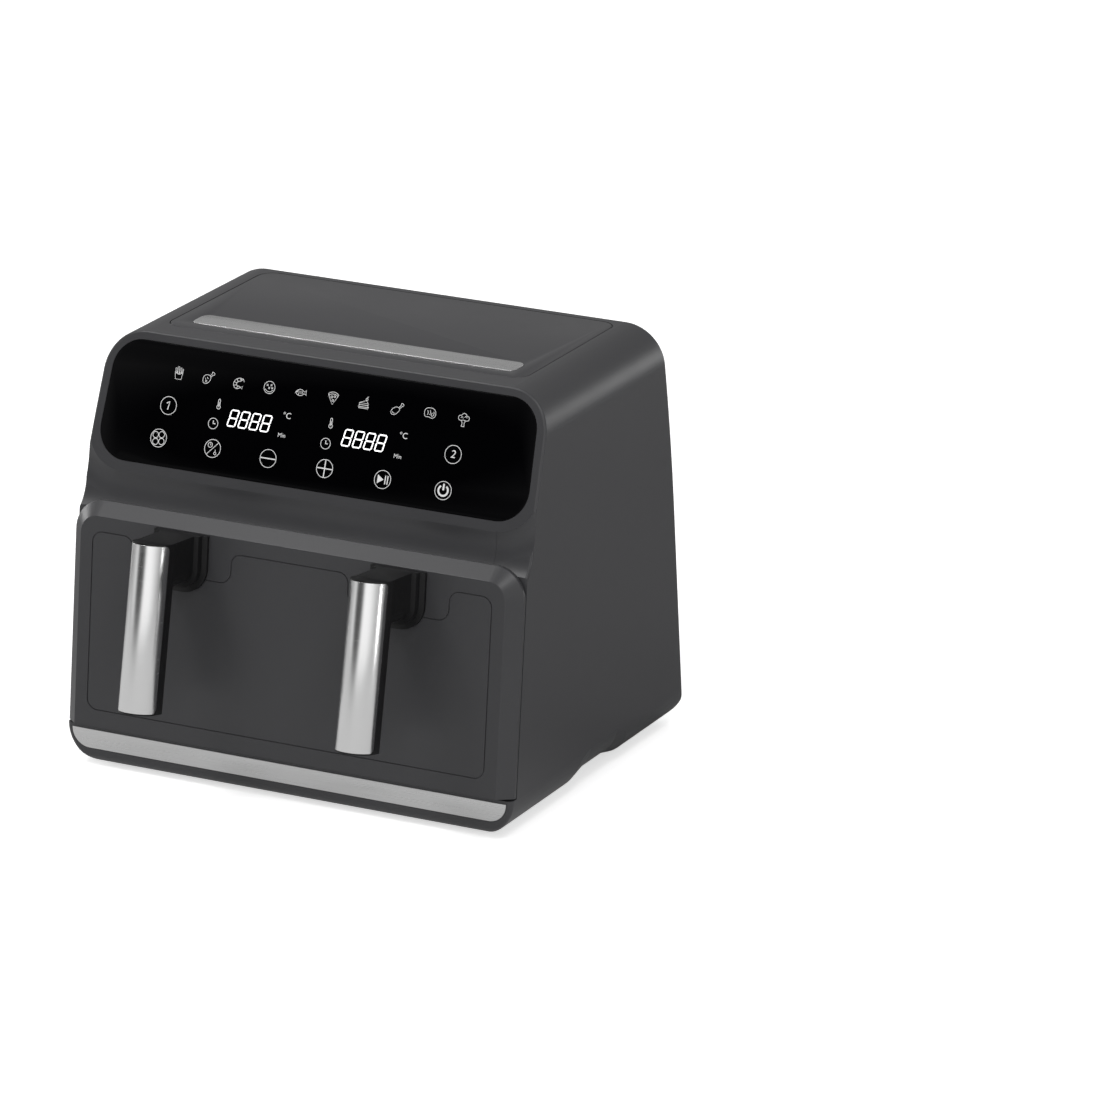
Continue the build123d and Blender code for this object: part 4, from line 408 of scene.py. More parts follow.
@dataclass(frozen=True)
class BoardLacquer(Finish):
    """Solder lacquer on a circuit board, with the copper runs showing through.

    Attributes:
        pitch: spacing of the runs in mm.
        field_lift: how much lighter every other field is.
        run_lift: how much lighter a run is.
        run_width: width of a run as a share of the spacing.
    """

    pitch: float = 5.0
    field_lift: float = 1.25
    run_lift: float = 2.0
    run_width: float = 0.03

    def pattern(
        self, tree: bpy.types.NodeTree, shader: bpy.types.Node, place: bpy.types.NodeSocket
    ) -> None:
        """Adds the runs as a grid of offset bars."""
        runs = add_node(
            tree,
            "ShaderNodeTexBrick",
            {
                "Vector": place,
                "Color1": linear(self.colour),
                "Color2": shaded(self.colour, self.field_lift),
                "Mortar": shaded(self.colour, self.run_lift),
                "Scale": 1 / (self.pitch * MM),
                "Mortar Size": self.run_width,
            },
        )
        tree.links.new(runs.outputs["Color"], shader.inputs["Base Color"])


@dataclass(frozen=True)
class Glazing(Finish):
    """Float glass with paint behind it: a hard skin with faint marks of wiping.

    Attributes:
        wipe: width of a wiping mark in mm.
        length: how many times longer than wide a mark is.
        tint: share by which a mark changes the colour.
        gloss: roughness drift.
    """

    wipe: float = 25.0
    length: float = 6.0
    tint: float = 0.2
    gloss: float = 0.015

    def pattern(
        self, tree: bpy.types.NodeTree, shader: bpy.types.Node, place: bpy.types.NodeSocket
    ) -> None:
        """Adds the marks, long from side to side."""
        across = 1 / (self.wipe * MM)
        stretch = add_node(
            tree,
            "ShaderNodeMapping",
            {"Vector": place, "Scale": (across / self.length, across, across)},
        )
        marks = add_node(
            tree, "ShaderNodeTexNoise", {"Vector": stretch.outputs["Vector"], "Scale": 1.0, "Detail": 3.0}
        )
        self.vary(tree, shader, marks.outputs["Fac"], self.tint, self.gloss)


@dataclass(frozen=True)
class Lit(Finish):
    """Lit light guide that shines through the panel, or print given a painted glow of its own, a little
    unevenly.

    Attributes:
        shine: strength of its own light.
        speck: width of an uneven spot in mm.
        uneven: share by which its light varies either way.
        tint: share by which its colour varies.
        gloss: roughness drift.
    """

    shine: float = 0.5
    speck: float = 2.5
    uneven: float = 0.15
    tint: float = 0.05
    gloss: float = 0.05

    def pattern(
        self, tree: bpy.types.NodeTree, shader: bpy.types.Node, place: bpy.types.NodeSocket
    ) -> None:
        """Adds the light and its unevenness."""
        shader.inputs["Emission Color"].default_value = linear(self.colour)
        spots = add_node(
            tree,
            "ShaderNodeTexNoise",
            {"Vector": place, "Scale": 1 / (self.speck * MM), "Detail": 1.0},
        )
        glow = add_node(
            tree,
            "ShaderNodeMapRange",
            {
                "Value": spots.outputs["Fac"],
                "From Min": 0.3,
                "From Max": 0.7,
                "To Min": self.shine * (1 - self.uneven),
                "To Max": self.shine * (1 + self.uneven),
            },
        )
        tree.links.new(glow.outputs["Result"], shader.inputs["Emission Strength"])
        self.vary(tree, shader, spots.outputs["Fac"], self.tint, self.gloss)


# What each slot is made of, and what that gives the eye.
FINISHES: dict[Slot, Finish] = {
    # satin moulded ABS: an even charcoal with a broad soft highlight
    Slot.BODY: Moulding("satin_charcoal_abs", "#3b3b3d", 0.38, specular=0.4),
    # unpolished inner mouldings: dull black
    Slot.INNER: Moulding("dull_black_polyamide", "#17171a", 0.55, specular=0.3, grain=0.9, depth=0.02),
    # handle cores: deep black with a little sheen
    Slot.HANDLE: Moulding("satin_black_phenolic", "#121213", 0.4, specular=0.3),
    # belt brushed stainless sheet: lines along the strips
    Slot.TRIM: Brushed("brushed_stainless_strip", "#d6d6d6", 0.3, 1.0),
    # glass painted black behind: a hard mirror over black
    Slot.GLASS: Glazing("black_backed_glass", "#020203", 0.05, specular=0.08),
    # feet: matt black rubber
    Slot.FEET: Moulding("matt_black_rubber", "#121212", 0.8, specular=0.2, grain=0.8, depth=0.03),
    # zinc plated screws and rivets: pale and slightly uneven
    Slot.SCREW: Brushed("zinc_plated_steel", "#a8a9ab", 0.35, 1.0, lay=Lay.EVERY_WAY, line=1.5),
    # green lacquer over copper
    Slot.BOARD: BoardLacquer("green_board_lacquer", "#12512f", 0.35),
    # milky light guides
    Slot.DISPLAY: Moulding("milky_polycarbonate", "#d9d9d4", 0.4),
    # turned brass posts: rings round the axis are too fine to show, so only tone varies
    Slot.POSTS: Brushed("turned_brass", "#b08d4c", 0.3, 1.0, lay=Lay.EVERY_WAY, line=2.0),
    # aluminised sheet: soft mirror with rolling streaks from side to side
    Slot.CAVITY: Brushed("aluminised_steel_sheet", "#97979a", 0.38, 1.0, line=1.6, depth=0.015),
    # glass filled rails
    Slot.RAIL: Moulding("glass_filled_nylon", "#1c1c1e", 0.6, grain=0.8, depth=0.02),
    # sheathed element: grey oxide with brown heat tint
    Slot.ELEMENT: Brushed(
        "oxidised_element_steel", "#6b6258", 0.45, 1.0, lay=Lay.EVERY_WAY, line=6.0, tint=0.3
    ),
    # stamped aluminium fan
    Slot.HOT_FAN: Brushed("stamped_aluminium", "#b4b5b8", 0.35, 1.0, lay=Lay.EVERY_WAY, line=3.0),
    # moulded cooling fan
    Slot.COOL_FAN: Moulding("grey_polypropylene", "#3a3a3c", 0.5),
    # drawn motor cans
    Slot.MOTOR: Brushed("zinc_motor_can", "#8c8d90", 0.4, 1.0, lay=Lay.ALONG_Z, line=1.2),
    # thermostat bodies
    Slot.THERMOSTAT: Moulding("glazed_steatite", "#d8d3c6", 0.35),
    # coated pot
    Slot.POT: Coating("black_nonstick_coat", "#141415", 0.42),
    # coated plates and divider
    Slot.PLATE: Coating("black_nonstick_plate_coat", "#161617", 0.38, fleck=2.4),
    # silicone bumpers
    Slot.SILICONE: Moulding("grey_silicone", "#2c2c2e", 0.65, specular=0.25, grain=1.2),
}
# turned and brushed handle shells: smooth bright bands along the grip
HANDLE_METAL = Brushed(
    "brushed_stainless_handle",
    "#e6e6e6",
    0.25,
    1.0,
    lay=Lay.AROUND,
    line=0.5,
    depth=0.002,
    tint=0.04,
    gloss=0.03,
)
# white ink on the glass: dull pale lines, given a faint painted glow that makes them read brighter
PRINT_INK_WITH_PAINTED_GLOW = Lit("white_panel_ink_with_painted_glow", "#cfcfcf", 0.5, shine=0.22)
# lit light guides behind the glass: even white bars
DIGIT_LIGHT = Lit("white_digit_light", "#ffffff", 0.5, shine=0.85)


class Workshop:
    """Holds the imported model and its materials, and hands finished pieces over."""

    def __init__(self) -> None:
        """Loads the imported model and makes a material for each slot."""
        self.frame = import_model()
        self.cad_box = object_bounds()
        self.materials = {slot: finish.material() for slot, finish in FINISHES.items()}

    def paint(self, slot: Slot, *nodes: str) -> None:
        """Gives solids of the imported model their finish.

        Args:
            slot: slot of the record.
            nodes: names of the solids.
        """
        for name in nodes:
            mesh = self.frame["nodes"][name].data
            mesh.materials.clear()
            mesh.materials.append(self.materials[slot])
            log.info("painted %s as %s", name, FINISHES[slot].name)

    def keep(
        self,
        name: str,
        mesh: bpy.types.Mesh,
        material: bpy.types.Material,
        body: str,
        replaces: Sequence[str] = (),
    ) -> None:
        """Puts a new piece into the scene on its body.

        Args:
            name: name of the piece.
            mesh: its mesh, already in place.
            material: its finish.
            body: body that it moves with.
            replaces: solids that it stands for.
        """
        mesh.materials.clear()
        mesh.materials.append(material)
        piece = bpy.data.objects.new(name, mesh)
        bpy.context.scene.collection.objects.link(piece)
        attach(piece, body)
        if replaces:
            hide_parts(*replaces)
        log.info("made %s with %d faces", name, len(mesh.polygons))

    def softened(self, node: str, width: float, segments: int = 2) -> bpy.types.Mesh:
        """Copies a solid's mesh and rounds its sharp edges.

        Args:
            node: name of the solid.
            width: width of the rounding in metres.
            segments: faces across the rounding.

        Returns:
            The new mesh.
        """
        shape = bmesh.new()
        shape.from_mesh(self.frame["nodes"][node].data)
        bmesh.ops.remove_doubles(shape, verts=shape.verts, dist=MERGE_GAP)
        bmesh.ops.dissolve_limit(shape, angle_limit=FLAT_ANGLE, verts=shape.verts, edges=shape.edges)
        sharp = [e for e in shape.edges if e.is_manifold and e.calc_face_angle(0) > SHARP_ANGLE]
        bmesh.ops.bevel(
            shape,
            geom=sharp,
            offset=width,
            affect="EDGES",
            segments=segments,
            profile=0.5,
            clamp_overlap=True,
            material=-1,
        )
        return finished(shape, f"{node}_softened")


def finished(shape: bmesh.types.BMesh, name: str, smooth: float = 35.0) -> bpy.types.Mesh:
    """Turns a bmesh to a mesh with smooth faces and sharp corners.

    Args:
        shape: bmesh, which is freed.
        name: name of the mesh.
        smooth: angle in degrees up to which faces flow together.

    Returns:
        The new mesh.
    """
    for face in shape.faces:
        face.smooth = True
    mesh = bpy.data.meshes.new(name)
    shape.to_mesh(mesh)
    shape.free()
    mesh.set_sharp_from_angle(angle=math.radians(smooth))
    return mesh


def as_mesh(data: bpy.types.ID, name: str) -> bpy.types.Mesh:
    """Turns a curve or text to a mesh and drops the source.

    Args:
        data: curve or text data.
        name: name of the mesh.

    Returns:
        The new mesh.
    """
    source = bpy.data.objects.new(name, data)
    bpy.context.scene.collection.objects.link(source)
    graph = bpy.context.evaluated_depsgraph_get()
    mesh = bpy.data.meshes.new_from_object(source.evaluated_get(graph))
    bpy.data.objects.remove(source)
    mesh.name = name
    return mesh


@dataclass(frozen=True)
class Stroke:
    """One printed line.

    Attributes:
        points: points that it runs through, in mm on the panel.
        closed: whether it ends where it starts.
        smooth: whether it curves through its points.
        width: its width in mm.
    """

    points: list[Point]
    closed: bool
    smooth: bool
    width: float


@dataclass(frozen=True)
class Word:
    """One printed figure or unit.

    Attributes:
        text: what it says.
        x: its middle across the glass in mm.
        up: its middle up the glass in mm.
        height: letter size in mm.
        lean: sideways lean.
    """

    text: str
    x: float
    up: float
    height: float
    lean: float = 0.0


@dataclass
class LineArt:
    """Lines and patches printed on the panel, in mm on its face.

    Attributes:
        name: name of the print.
        width: usual width of a line in mm.
        origin: where the drawing's own zero lies.
        strokes: lines drawn so far.
        patches: outlines of the filled shapes drawn so far.
    """

    name: str
    width: float = 0.55
    origin: Point = (0.0, 0.0)
    strokes: list[Stroke] = field(default_factory=list)
    patches: list[list[Point]] = field(default_factory=list)

    def at(self, x: float, up: float) -> "LineArt":
        """Moves the drawing's zero and returns the print."""
        self.origin = (x, up)
        return self

    def shift(self, points: Sequence[Point]) -> list[Point]:
        """Moves points from the drawing's zero to the panel."""
        return [(x + self.origin[0], y + self.origin[1]) for x, y in points]

    def line(self, *points: Point, closed: bool = False, width: float = 0.0) -> "LineArt":
        """Draws straight lines through points."""
        self.strokes.append(Stroke(self.shift(points), closed, False, width or self.width))
        return self

    def curve(self, *points: Point, closed: bool = False, width: float = 0.0) -> "LineArt":
        """Draws a smooth line through points."""
        self.strokes.append(Stroke(self.shift(points), closed, True, width or self.width))
        return self

    def ring(self, radius: float, x: float = 0.0, y: float = 0.0) -> "LineArt":
        """Draws a circle about a point."""
        turns = [2 * math.pi * i / 8 for i in range(8)]
        return self.curve(
            *((x + radius * math.cos(t), y + radius * math.sin(t)) for t in turns), closed=True
        )

    def arc(self, radius: float, start: float, end: float, width: float = 0.0) -> "LineArt":
        """Draws part of a circle between two angles in degrees."""
        turns = [math.radians(start + (end - start) * i / 12) for i in range(13)]
        return self.curve(*((radius * math.cos(t), radius * math.sin(t)) for t in turns), width=width)

    def patch(self, *points: Point) -> "LineArt":
        """Fills a flat shape."""
        self.patches.append(self.shift(points))
        return self

    def mesh(self, panel: Matrix) -> bpy.types.Mesh:
        """Makes the print.

        Args:
            panel: matrix from mm on the panel to the frame.

        Returns:
            One mesh with all lines and patches, a few hundredths of a mm proud.
        """
        data = bpy.data.curves.new(self.name, "CURVE")
        data.dimensions = "3D"
        data.bevel_depth = 0.5
        data.bevel_resolution = 1
        data.resolution_u = 5
        data.use_fill_caps = True
        for stroke in self.strokes:
            spline = data.splines.new("BEZIER")
            spline.bezier_points.add(len(stroke.points) - 1)
            spline.use_cyclic_u = stroke.closed
            for knot, (x, y) in zip(spline.bezier_points, stroke.points):
                knot.co = (x, y, 0)
                knot.handle_left_type = knot.handle_right_type = "AUTO" if stroke.smooth else "VECTOR"
                knot.radius = stroke.width
        lines = as_mesh(data, self.name)
        lines.transform(Matrix.Diagonal((1, 1, PRINT_FLATNESS, 1)))
        shape = bmesh.new()
        shape.from_mesh(lines)
        for points in self.patches:
            flat = shape.faces.new([shape.verts.new((x, y, 0)) for x, y in points])
            grown = bmesh.ops.extrude_face_region(shape, geom=[flat])["geom"]
            top = [g for g in grown if isinstance(g, bmesh.types.BMVert)]
            bmesh.ops.translate(shape, verts=top, vec=(0, 0, PRINT_RISE))
        bmesh.ops.transform(shape, matrix=panel, verts=shape.verts)
        bmesh.ops.recalc_face_normals(shape, faces=shape.faces)
        bpy.data.meshes.remove(lines)
        return finished(shape, self.name)


@dataclass
class ControlPanel:
    """Black glass with the touch marks and two lit displays.

    Attributes:
        chin: Y and Z of the foot of the leaning face in metres.
        tilt: lean of the face in degrees.
        glass_foot: height of the glass edge up the face in metres.
        glass_edge: rounding of the glass in metres.
        key_ring: radius of the ring round a key in mm.
        bold: width of the heavier lines in mm.
        digit: width, height and bar width of a digit in mm.
        columns: digits in a display.
        pitch: digit spacing in mm.
        slant: lean of the digits, sideways per height.
        bar_gap: space left at each end of a bar in mm.
        bar_rise: how far a bar stands off the glass in mm.
    """

    chin: Point = (-77.0 * MM, 233.5 * MM)
    tilt: float = 20.5
    glass_foot: float = 8.0 * MM
    glass_edge: float = 0.4 * MM
    key_ring: float = 6.9
    bold: float = 0.9
    digit: Place = (6.6, 12.4, 1.05)
    columns: int = 4
    pitch: float = 9.6
    slant: float = 0.19
    bar_gap: float = 0.16
    bar_rise: float = 0.04

    def face(self) -> Matrix:
        """Gives the matrix from mm on the glass, with its zero at the middle of the lower edge."""
        lean = math.radians(self.tilt)
        up = Vector((0, math.sin(lean), math.cos(lean)))
        out = Vector((0, -math.cos(lean), math.sin(lean)))
        foot = Vector((0, *self.chin)) + up * self.glass_foot
        turn = Matrix((Vector((1, 0, 0)), up, out)).transposed().to_4x4()
        return Matrix.Translation(foot) @ turn @ Matrix.Scale(MM, 4)

    def foods(self) -> LineArt:
        """Draws the row of food signs."""
        art = LineArt("food_signs", 0.42)
        art.at(-125.4, 73.1)
        art.line((-3.4, 0.6), (-2.5, -4.8), (2.5, -4.8), (3.4, 0.6))
        art.curve((-3.4, 0.6), (0, -0.9), (3.4, 0.6))
        art.line((-2.8, 0.2), (-3.4, 3.6), (-2.3, 3.8), (-1.7, -0.4))
        art.line((-1.4, -0.5), (-1.2, 4.9), (-0.2, 4.9), (-0.1, -0.8))
        art.line((0.3, -0.8), (0.9, 4.2), (1.9, 4.0), (1.5, -0.4))
        art.line((1.9, -0.3), (2.9, 3.4), (3.7, 3.0), (2.9, 0.2))
        art.at(-99.3, 72.8)
        art.curve(
            (-4.6, -1.2), (-3.4, 1.6), (-0.6, 2.4), (1.8, 1.0), (1.6, -1.8), (-0.8, -4.2), (-3.6, -4.0),
            closed=True,
        )
        art.line((2.0, 0.9), (3.6, 2.6)).line((1.1, 1.8), (2.8, 3.5))
        art.curve((2.8, 3.5), (2.9, 4.8), (4.1, 4.6), (4.9, 4.1), (4.7, 2.9), (3.6, 2.6))
        art.line((-3.0, -0.2), (-1.9, -1.5)).line((-1.2, 0.6), (-0.1, -0.7)).ring(0.6, -1.6, -2.7)
        art.at(-72.8, 72.6)
        art.curve(
            (3.8, 3.4), (0.4, 3.8), (-2.8, 2.2), (-4.2, -0.8), (-3.0, -3.6), (-0.2, -4.4), (2.2, -3.2)
        )
        art.curve((3.8, 3.4), (1.6, 1.6), (-0.6, 0.9), (-1.5, -0.8), (-0.8, -2.2), (0.8, -2.4), (2.2, -3.2))
        art.line((-0.6, 0.9), (-1.6, 3.0)).line((-1.4, -0.2), (-3.9, 0.6))
        art.line((-1.2, -1.6), (-3.9, -2.2)).line((-0.2, -2.4), (-1.2, -4.3))
        art.line((2.2, -3.2), (3.9, -2.0), (3.6, -4.3), closed=True).ring(0.4, 1.7, 2.8)
        art.line((3.8, 3.4), (4.8, 1.4))
        art.at(-45.7, 72.9).ring(4.7).curve((-3.6, -1.6), (0, -3.4), (3.6, -1.6))
        for x, y in ((-1.9, 1.6), (1.5, 1.9), (-0.2, -0.4), (2.4, -0.3)):
            art.line((x - 0.7, y - 0.7), (x + 0.7, y + 0.7)).line((x - 0.7, y + 0.7), (x + 0.7, y - 0.7))
        art.at(-18.1, 72.8)
        art.curve((-4.8, -0.4), (-2.6, 1.8), (0.4, 2.2), (2.9, 0.7)).line((2.9, 0.7), (4.8, 2.3), (4.2, 0.2))
        art.curve((-4.8, -0.4), (-2.4, -2.1), (0.6, -2.2), (2.9, -0.5))
        art.line((2.9, -0.5), (4.9, -1.7), (4.2, 0.2))
        art.curve((-2.4, 1.7), (-1.7, -0.1), (-2.2, -2.0)).ring(0.35, -3.4, 0.2)
        art.line((-0.4, 1.2), (0.3, -1.2)).line((1.0, 1.0), (1.6, -1.0))
        art.at(9.8, 72.4)
        art.curve((-4.4, 2.9), (-2.2, 4.2), (0, 4.6), (2.2, 4.2), (4.4, 2.9))
        art.curve((-4.0, 1.7), (-2.0, 2.8), (0, 3.1), (2.0, 2.8), (4.0, 1.7))
        art.line((-4.4, 2.9), (-4.0, 1.7), (0, -5.0), (4.0, 1.7), (4.4, 2.9))
        art.ring(0.8, -1.2, 0.7).ring(0.7, 1.3, 1.2).ring(0.7, 0.1, -1.8)
        art.at(36.6, 72.7)
        art.line((-4.8, -3.4), (4.8, -3.4)).line((-4.2, -4.4), (4.2, -4.4))
        art.line((-3.9, -3.4), (-3.9, -0.5), (3.7, -0.5), (3.7, -3.4)).line((-3.9, -1.9), (3.7, -1.9))
        art.line((-3.9, -0.5), (1.8, 1.8), (3.7, -0.5)).ring(0.8, 2.1, 2.7)
        art.curve((2.2, 3.5), (2.5, 4.3), (3.2, 4.8))
        art.at(65.2, 71.7)
        art.curve(
            (-4.8, -2.2), (-4.0, -4.2), (-1.6, -4.4), (0.8, -2.6), (2.2, 0.2), (0.4, 1.5), (-2.8, 0.6),
            closed=True,
        )
        art.line((1.3, 1.3), (3.3, 3.4)).line((2.1, 0.6), (4.2, 2.6))
        art.curve((3.3, 3.4), (3.2, 4.6), (4.4, 4.5), (5.0, 4.0), (5.2, 3.1), (4.2, 2.6))
        art.curve((-3.7, -2.2), (-2.9, -3.2), (-1.6, -3.4))
        art.at(93.3, 72.6)
        art.curve(
            (-4.7, 0.2), (-3.6, 3.0), (-0.4, 3.9), (2.8, 3.4), (4.8, 1.0), (4.4, -2.4), (2.0, -3.7),
            (-0.8, -3.0), (-3.6, -2.8), closed=True,
        )
        art.curve((-2.2, 1.9), (-1.5, -0.2), (-2.0, -1.6)).curve((0.0, 2.2), (0.5, 0.2), (-0.1, -1.5))
        art.curve((3.2, 1.4), (3.4, -0.6), (2.2, -2.2), (1.2, -1.2), (2.0, 0.2))
        art.at(122.2, 71.3)
        art.curve(
            (-4.4, 0.6), (-4.1, 2.8), (-2.2, 3.4), (-0.6, 5.0), (1.4, 4.6), (2.4, 3.4), (4.2, 2.6),
            (4.4, 0.4), (2.6, -0.5), (0, -0.1), (-2.6, -0.5), closed=True,
        )
        art.curve((-1.7, -0.5), (-0.9, -2.6), (-1.3, -4.9)).curve((1.7, -0.5), (0.9, -2.6), (1.3, -4.9))
        art.line((-1.3, -4.9), (1.3, -4.9)).curve((-2.6, 1.2), (-1.6, 2.3), (-0.5, 1.3))
        art.curve((0.6, 1.9), (1.6, 2.9), (2.7, 1.7))
        return art

    def keys(self) -> LineArt:
        """Draws the touch marks: zone rings, gauges and the lower row of keys."""
        art = LineArt("touch_marks", 0.48)
        zones = ((-130, 47.1), (118.1, 44.4))
        row = ((-134.1, 21.2), (-86.1, 19.9), (-37.2, 19.1), (12.2, 18.4), (62.5, 17.2), (114.6, 16.3))
        four_rings, clock_drop, less, more, start, power = row
        for key in zones:
            art.at(*key).ring(self.key_ring)
        art.at(*zones[0]).line((-1.7, 1.7), (0.7, 3.2), (-0.3, -3.2), width=self.bold)
        for x, up in ((-86.6, 54.4), (11.5, 53.4)):
            art.at(x, up).ring(1.5, 0, -2.4).line((-0.8, -1.2), (-0.8, 3.0)).line((0.8, -1.2), (0.8, 3.0))
            art.curve((-0.8, 3.0), (0, 3.8), (0.8, 3.0)).line((0, -2.4), (0, 1.4))
        for x, up in ((-89.1, 38.9), (9.6, 37.3)):
            art.at(x, up).ring(4.1).line((0, 2.4), (0, 0), (2.0, 0), width=0.8)
        for key in row:
            art.at(*key).ring(self.key_ring)
        art.at(*four_rings)
        for x, y in ((-2.9, 2.3), (2.3, 2.9), (-2.3, -2.9), (2.9, -2.3)):
            art.ring(2.4, x, y)
        art.at(*clock_drop).line((-4.7, -5.0), (4.7, 5.0)).ring(1.9, -2.4, 2.5)
        art.line((-2.4, 3.6), (-2.4, 2.5), (-1.5, 2.5)).ring(1.0, 2.6, -3.6).line((2.6, -2.6), (2.6, -0.6))
        art.at(*less).line((-6.5, 0), (6.5, 0), width=self.bold)
        art.at(*more).line((-6.5, 0), (6.5, 0), width=self.bold).line((0, -6.5), (0, 6.5), width=self.bold)
        art.at(*start).patch((-4.4, -3.4), (0.9, 0.0), (-4.4, 3.4))
        for x in (2.3, 4.3):
            art.line((x, -3.3), (x, 3.3), width=self.bold)
        art.at(*power).arc(4.0, 125, 415, 1.5).line((0, 0.2), (0, 5.2), width=1.5)
        return art

    def words(self) -> list[Word]:
        """Lists the printed figures and units."""
        return [
            Word("2", 118.1, 44.4, 8.6, lean=0.15),
            Word("°C", -26.8, 53.4, 6.6),
            Word("Min", -28.8, 38.1, 4.6),
            Word("°C", 74.3, 52.3, 6.6),
            Word("Min", 72.0, 36.2, 4.6),
        ]

    def figures(self) -> bpy.types.Mesh:
        """Makes the printed figures and units as one mesh."""
        shape = bmesh.new()
        for word in self.words():
            data = bpy.data.curves.new("figure", "FONT")
            data.body = word.text
            data.size = word.height
            data.align_x = "CENTER"
            data.align_y = "CENTER"
            data.shear = word.lean
            data.extrude = PRINT_RISE
            data.resolution_u = 4
            letters = as_mesh(data, "figure")
            letters.transform(Matrix.Translation((word.x, word.up, 0)))
            shape.from_mesh(letters)
            bpy.data.meshes.remove(letters)
        bmesh.ops.transform(shape, matrix=self.face(), verts=shape.verts)
        return finished(shape, "panel_figures")

    def digits(self, x: float, up: float, name: str) -> bpy.types.Mesh:
        """Makes four lit seven-bar digits.

        Args:
            x: middle of the group across the glass in mm.
            up: its middle up the glass in mm.
            name: name of the mesh.

        Returns:
            The mesh of all bars.
        """
        width, height, bar = self.digit
        shape = bmesh.new()
        half = height / 2
        rim = bar / 2
        bars = [(0, half, 0, width), (0, 0, 0, width), (0, -half, 0, width)]
        bars += [(s * width / 2, t * half / 2, 90, half) for s in (-1, 1) for t in (-1, 1)]
        for column in range(self.columns):
            for bar_x, bar_y, turn, length in bars:
                end = length / 2 - self.bar_gap
                outline = [
                    (-end, 0), (-end + rim, -rim), (end - rim, -rim),
                    (end, 0), (end - rim, rim), (-end + rim, rim),
                ]
                flat = shape.faces.new([shape.verts.new((px, py, 0)) for px, py in outline])
                grown = bmesh.ops.extrude_face_region(shape, geom=[flat])["geom"]
                top = [g for g in grown if isinstance(g, bmesh.types.BMVert)]
                bmesh.ops.translate(shape, verts=top, vec=(0, 0, self.bar_rise))
                place = Matrix.Translation((bar_x, bar_y, 0)) @ Matrix.Rotation(math.radians(turn), 4, "Z")
                bmesh.ops.transform(shape, matrix=place, verts=list({*flat.verts, *top}))
            fresh = [v for v in shape.verts if not v.tag]
            lean = Matrix.Identity(4)
            lean[0][1] = self.slant
            offset = (column - (self.columns - 1) / 2) * self.pitch
            slide = Matrix.Translation((x + offset, up, 0)) @ lean
            bmesh.ops.transform(shape, matrix=slide, verts=fresh)
            for vert in fresh:
                vert.tag = True
        bmesh.ops.transform(shape, matrix=self.face(), verts=shape.verts)
        bmesh.ops.recalc_face_normals(shape, faces=shape.faces)
        return finished(shape, name)

    def build(self, shop: Workshop) -> None:
        """Makes the glass and everything printed on it."""
        glass = shop.softened("control_glass", self.glass_edge)
        shop.keep("glass_plate", glass, shop.materials[Slot.GLASS], "housing", ["control_glass"])
        # the printed ink carries a painted glow; the digit light guides below really shine
        ink = PRINT_INK_WITH_PAINTED_GLOW.material()
        light = DIGIT_LIGHT.material()
        face = self.face()
        for art in (self.foods(), self.keys()):
            shop.keep(art.name, art.mesh(face), ink, "housing")
        shop.keep("panel_figures", self.figures(), ink, "housing")
        for name, x, up in (("digits_zone_1", -58.1, 45.2), ("digits_zone_2", 41.7, 44.2)):
            shop.keep(name, self.digits(x, up, name), light, "housing")
        shop.paint(Slot.INNER, "display_carrier")
        shop.paint(Slot.BOARD, "control_board")
        shop.paint(Slot.DISPLAY, "digit_modules")


@dataclass
class Body:
    """Outer mouldings, metal strips, feet and the rear wall.

    Attributes:
        edge: rounding of the top panel in metres.
        strip_edge: rounding of the metal strips in metres.
    """

    edge: float = 0.35 * MM
    strip_edge: float = 0.2 * MM

    def build(self, shop: Workshop) -> None:
        """Makes the strips and dresses the mouldings."""
        shop.paint(Slot.BODY, "main_housing", "base_tray", "rear_cover")
        panel = shop.softened("top_panel", self.edge)
        shop.keep("top_panel_plate", panel, shop.materials[Slot.BODY], "housing", ["top_panel"])
        for strip in ("top_trim_strip", "base_trim_strip"):
            mesh = shop.softened(strip, self.strip_edge)
            shop.keep(f"{strip}_metal", mesh, shop.materials[Slot.TRIM], "housing", [strip])
        shop.paint(Slot.FEET, *(f"foot_{e}_{s}" for e in ("front", "rear") for s in SIDES))
        shop.paint(Slot.SCREW, "base_screws", "rear_cover_screws")
        shop.paint(Slot.INNER, "cord_gland", "drawer_switch")
        shop.paint(Slot.DISPLAY, "switch_plunger")
        shop.paint(Slot.POSTS, "board_standoffs")
        shop.paint(Slot.BOARD, "power_board")
        shop.paint(Slot.CAVITY, "cavity_liner")
        shop.paint(Slot.RAIL, "drawer_rail_left", "drawer_rail_right")


@dataclass
class Drawer:
    """Sliding front with its pot and two handles.

    Attributes:
        grip_edge: rounding of the handle cores in metres.
        shell_edge: rounding of the metal handle shells in metres.
    """

    grip_edge: float = 0.5 * MM
    shell_edge: float = 0.4 * MM

    def build(self, shop: Workshop) -> None:
        """Dresses the drawer and makes the handles' grips and shells."""
        shop.paint(Slot.BODY, "drawer_front")
        shop.paint(Slot.INNER, "drawer_carrier")
        shop.paint(Slot.POT, "drawer_pot", "divider_guide_front", "divider_guide_rear")
        shop.paint(Slot.SCREW, "handle_screws", "guide_rivets")
        metal = HANDLE_METAL.material()
        for side in SIDES:
            core = shop.softened(f"handle_core_{side}", self.grip_edge)
            shop.keep(
                f"handle_grip_{side}",
                core,
                shop.materials[Slot.HANDLE],
                "drawer",
                [f"handle_core_{side}"],
            )
            cover = shop.softened(f"handle_cover_{side}", self.shell_edge)
            shop.keep(f"handle_shell_{side}", cover, metal, "drawer", [f"handle_cover_{side}"])


@dataclass
class Inserts:
    """Loose pieces in the pot: the divider and the two crisper plates."""

    def build(self, shop: Workshop) -> None:
        """Dresses the inserts."""
        shop.paint(Slot.PLATE, "divider", "crisper_plate_left", "crisper_plate_right")
        shop.paint(Slot.SILICONE, "crisper_bumpers_left", "crisper_bumpers_right")


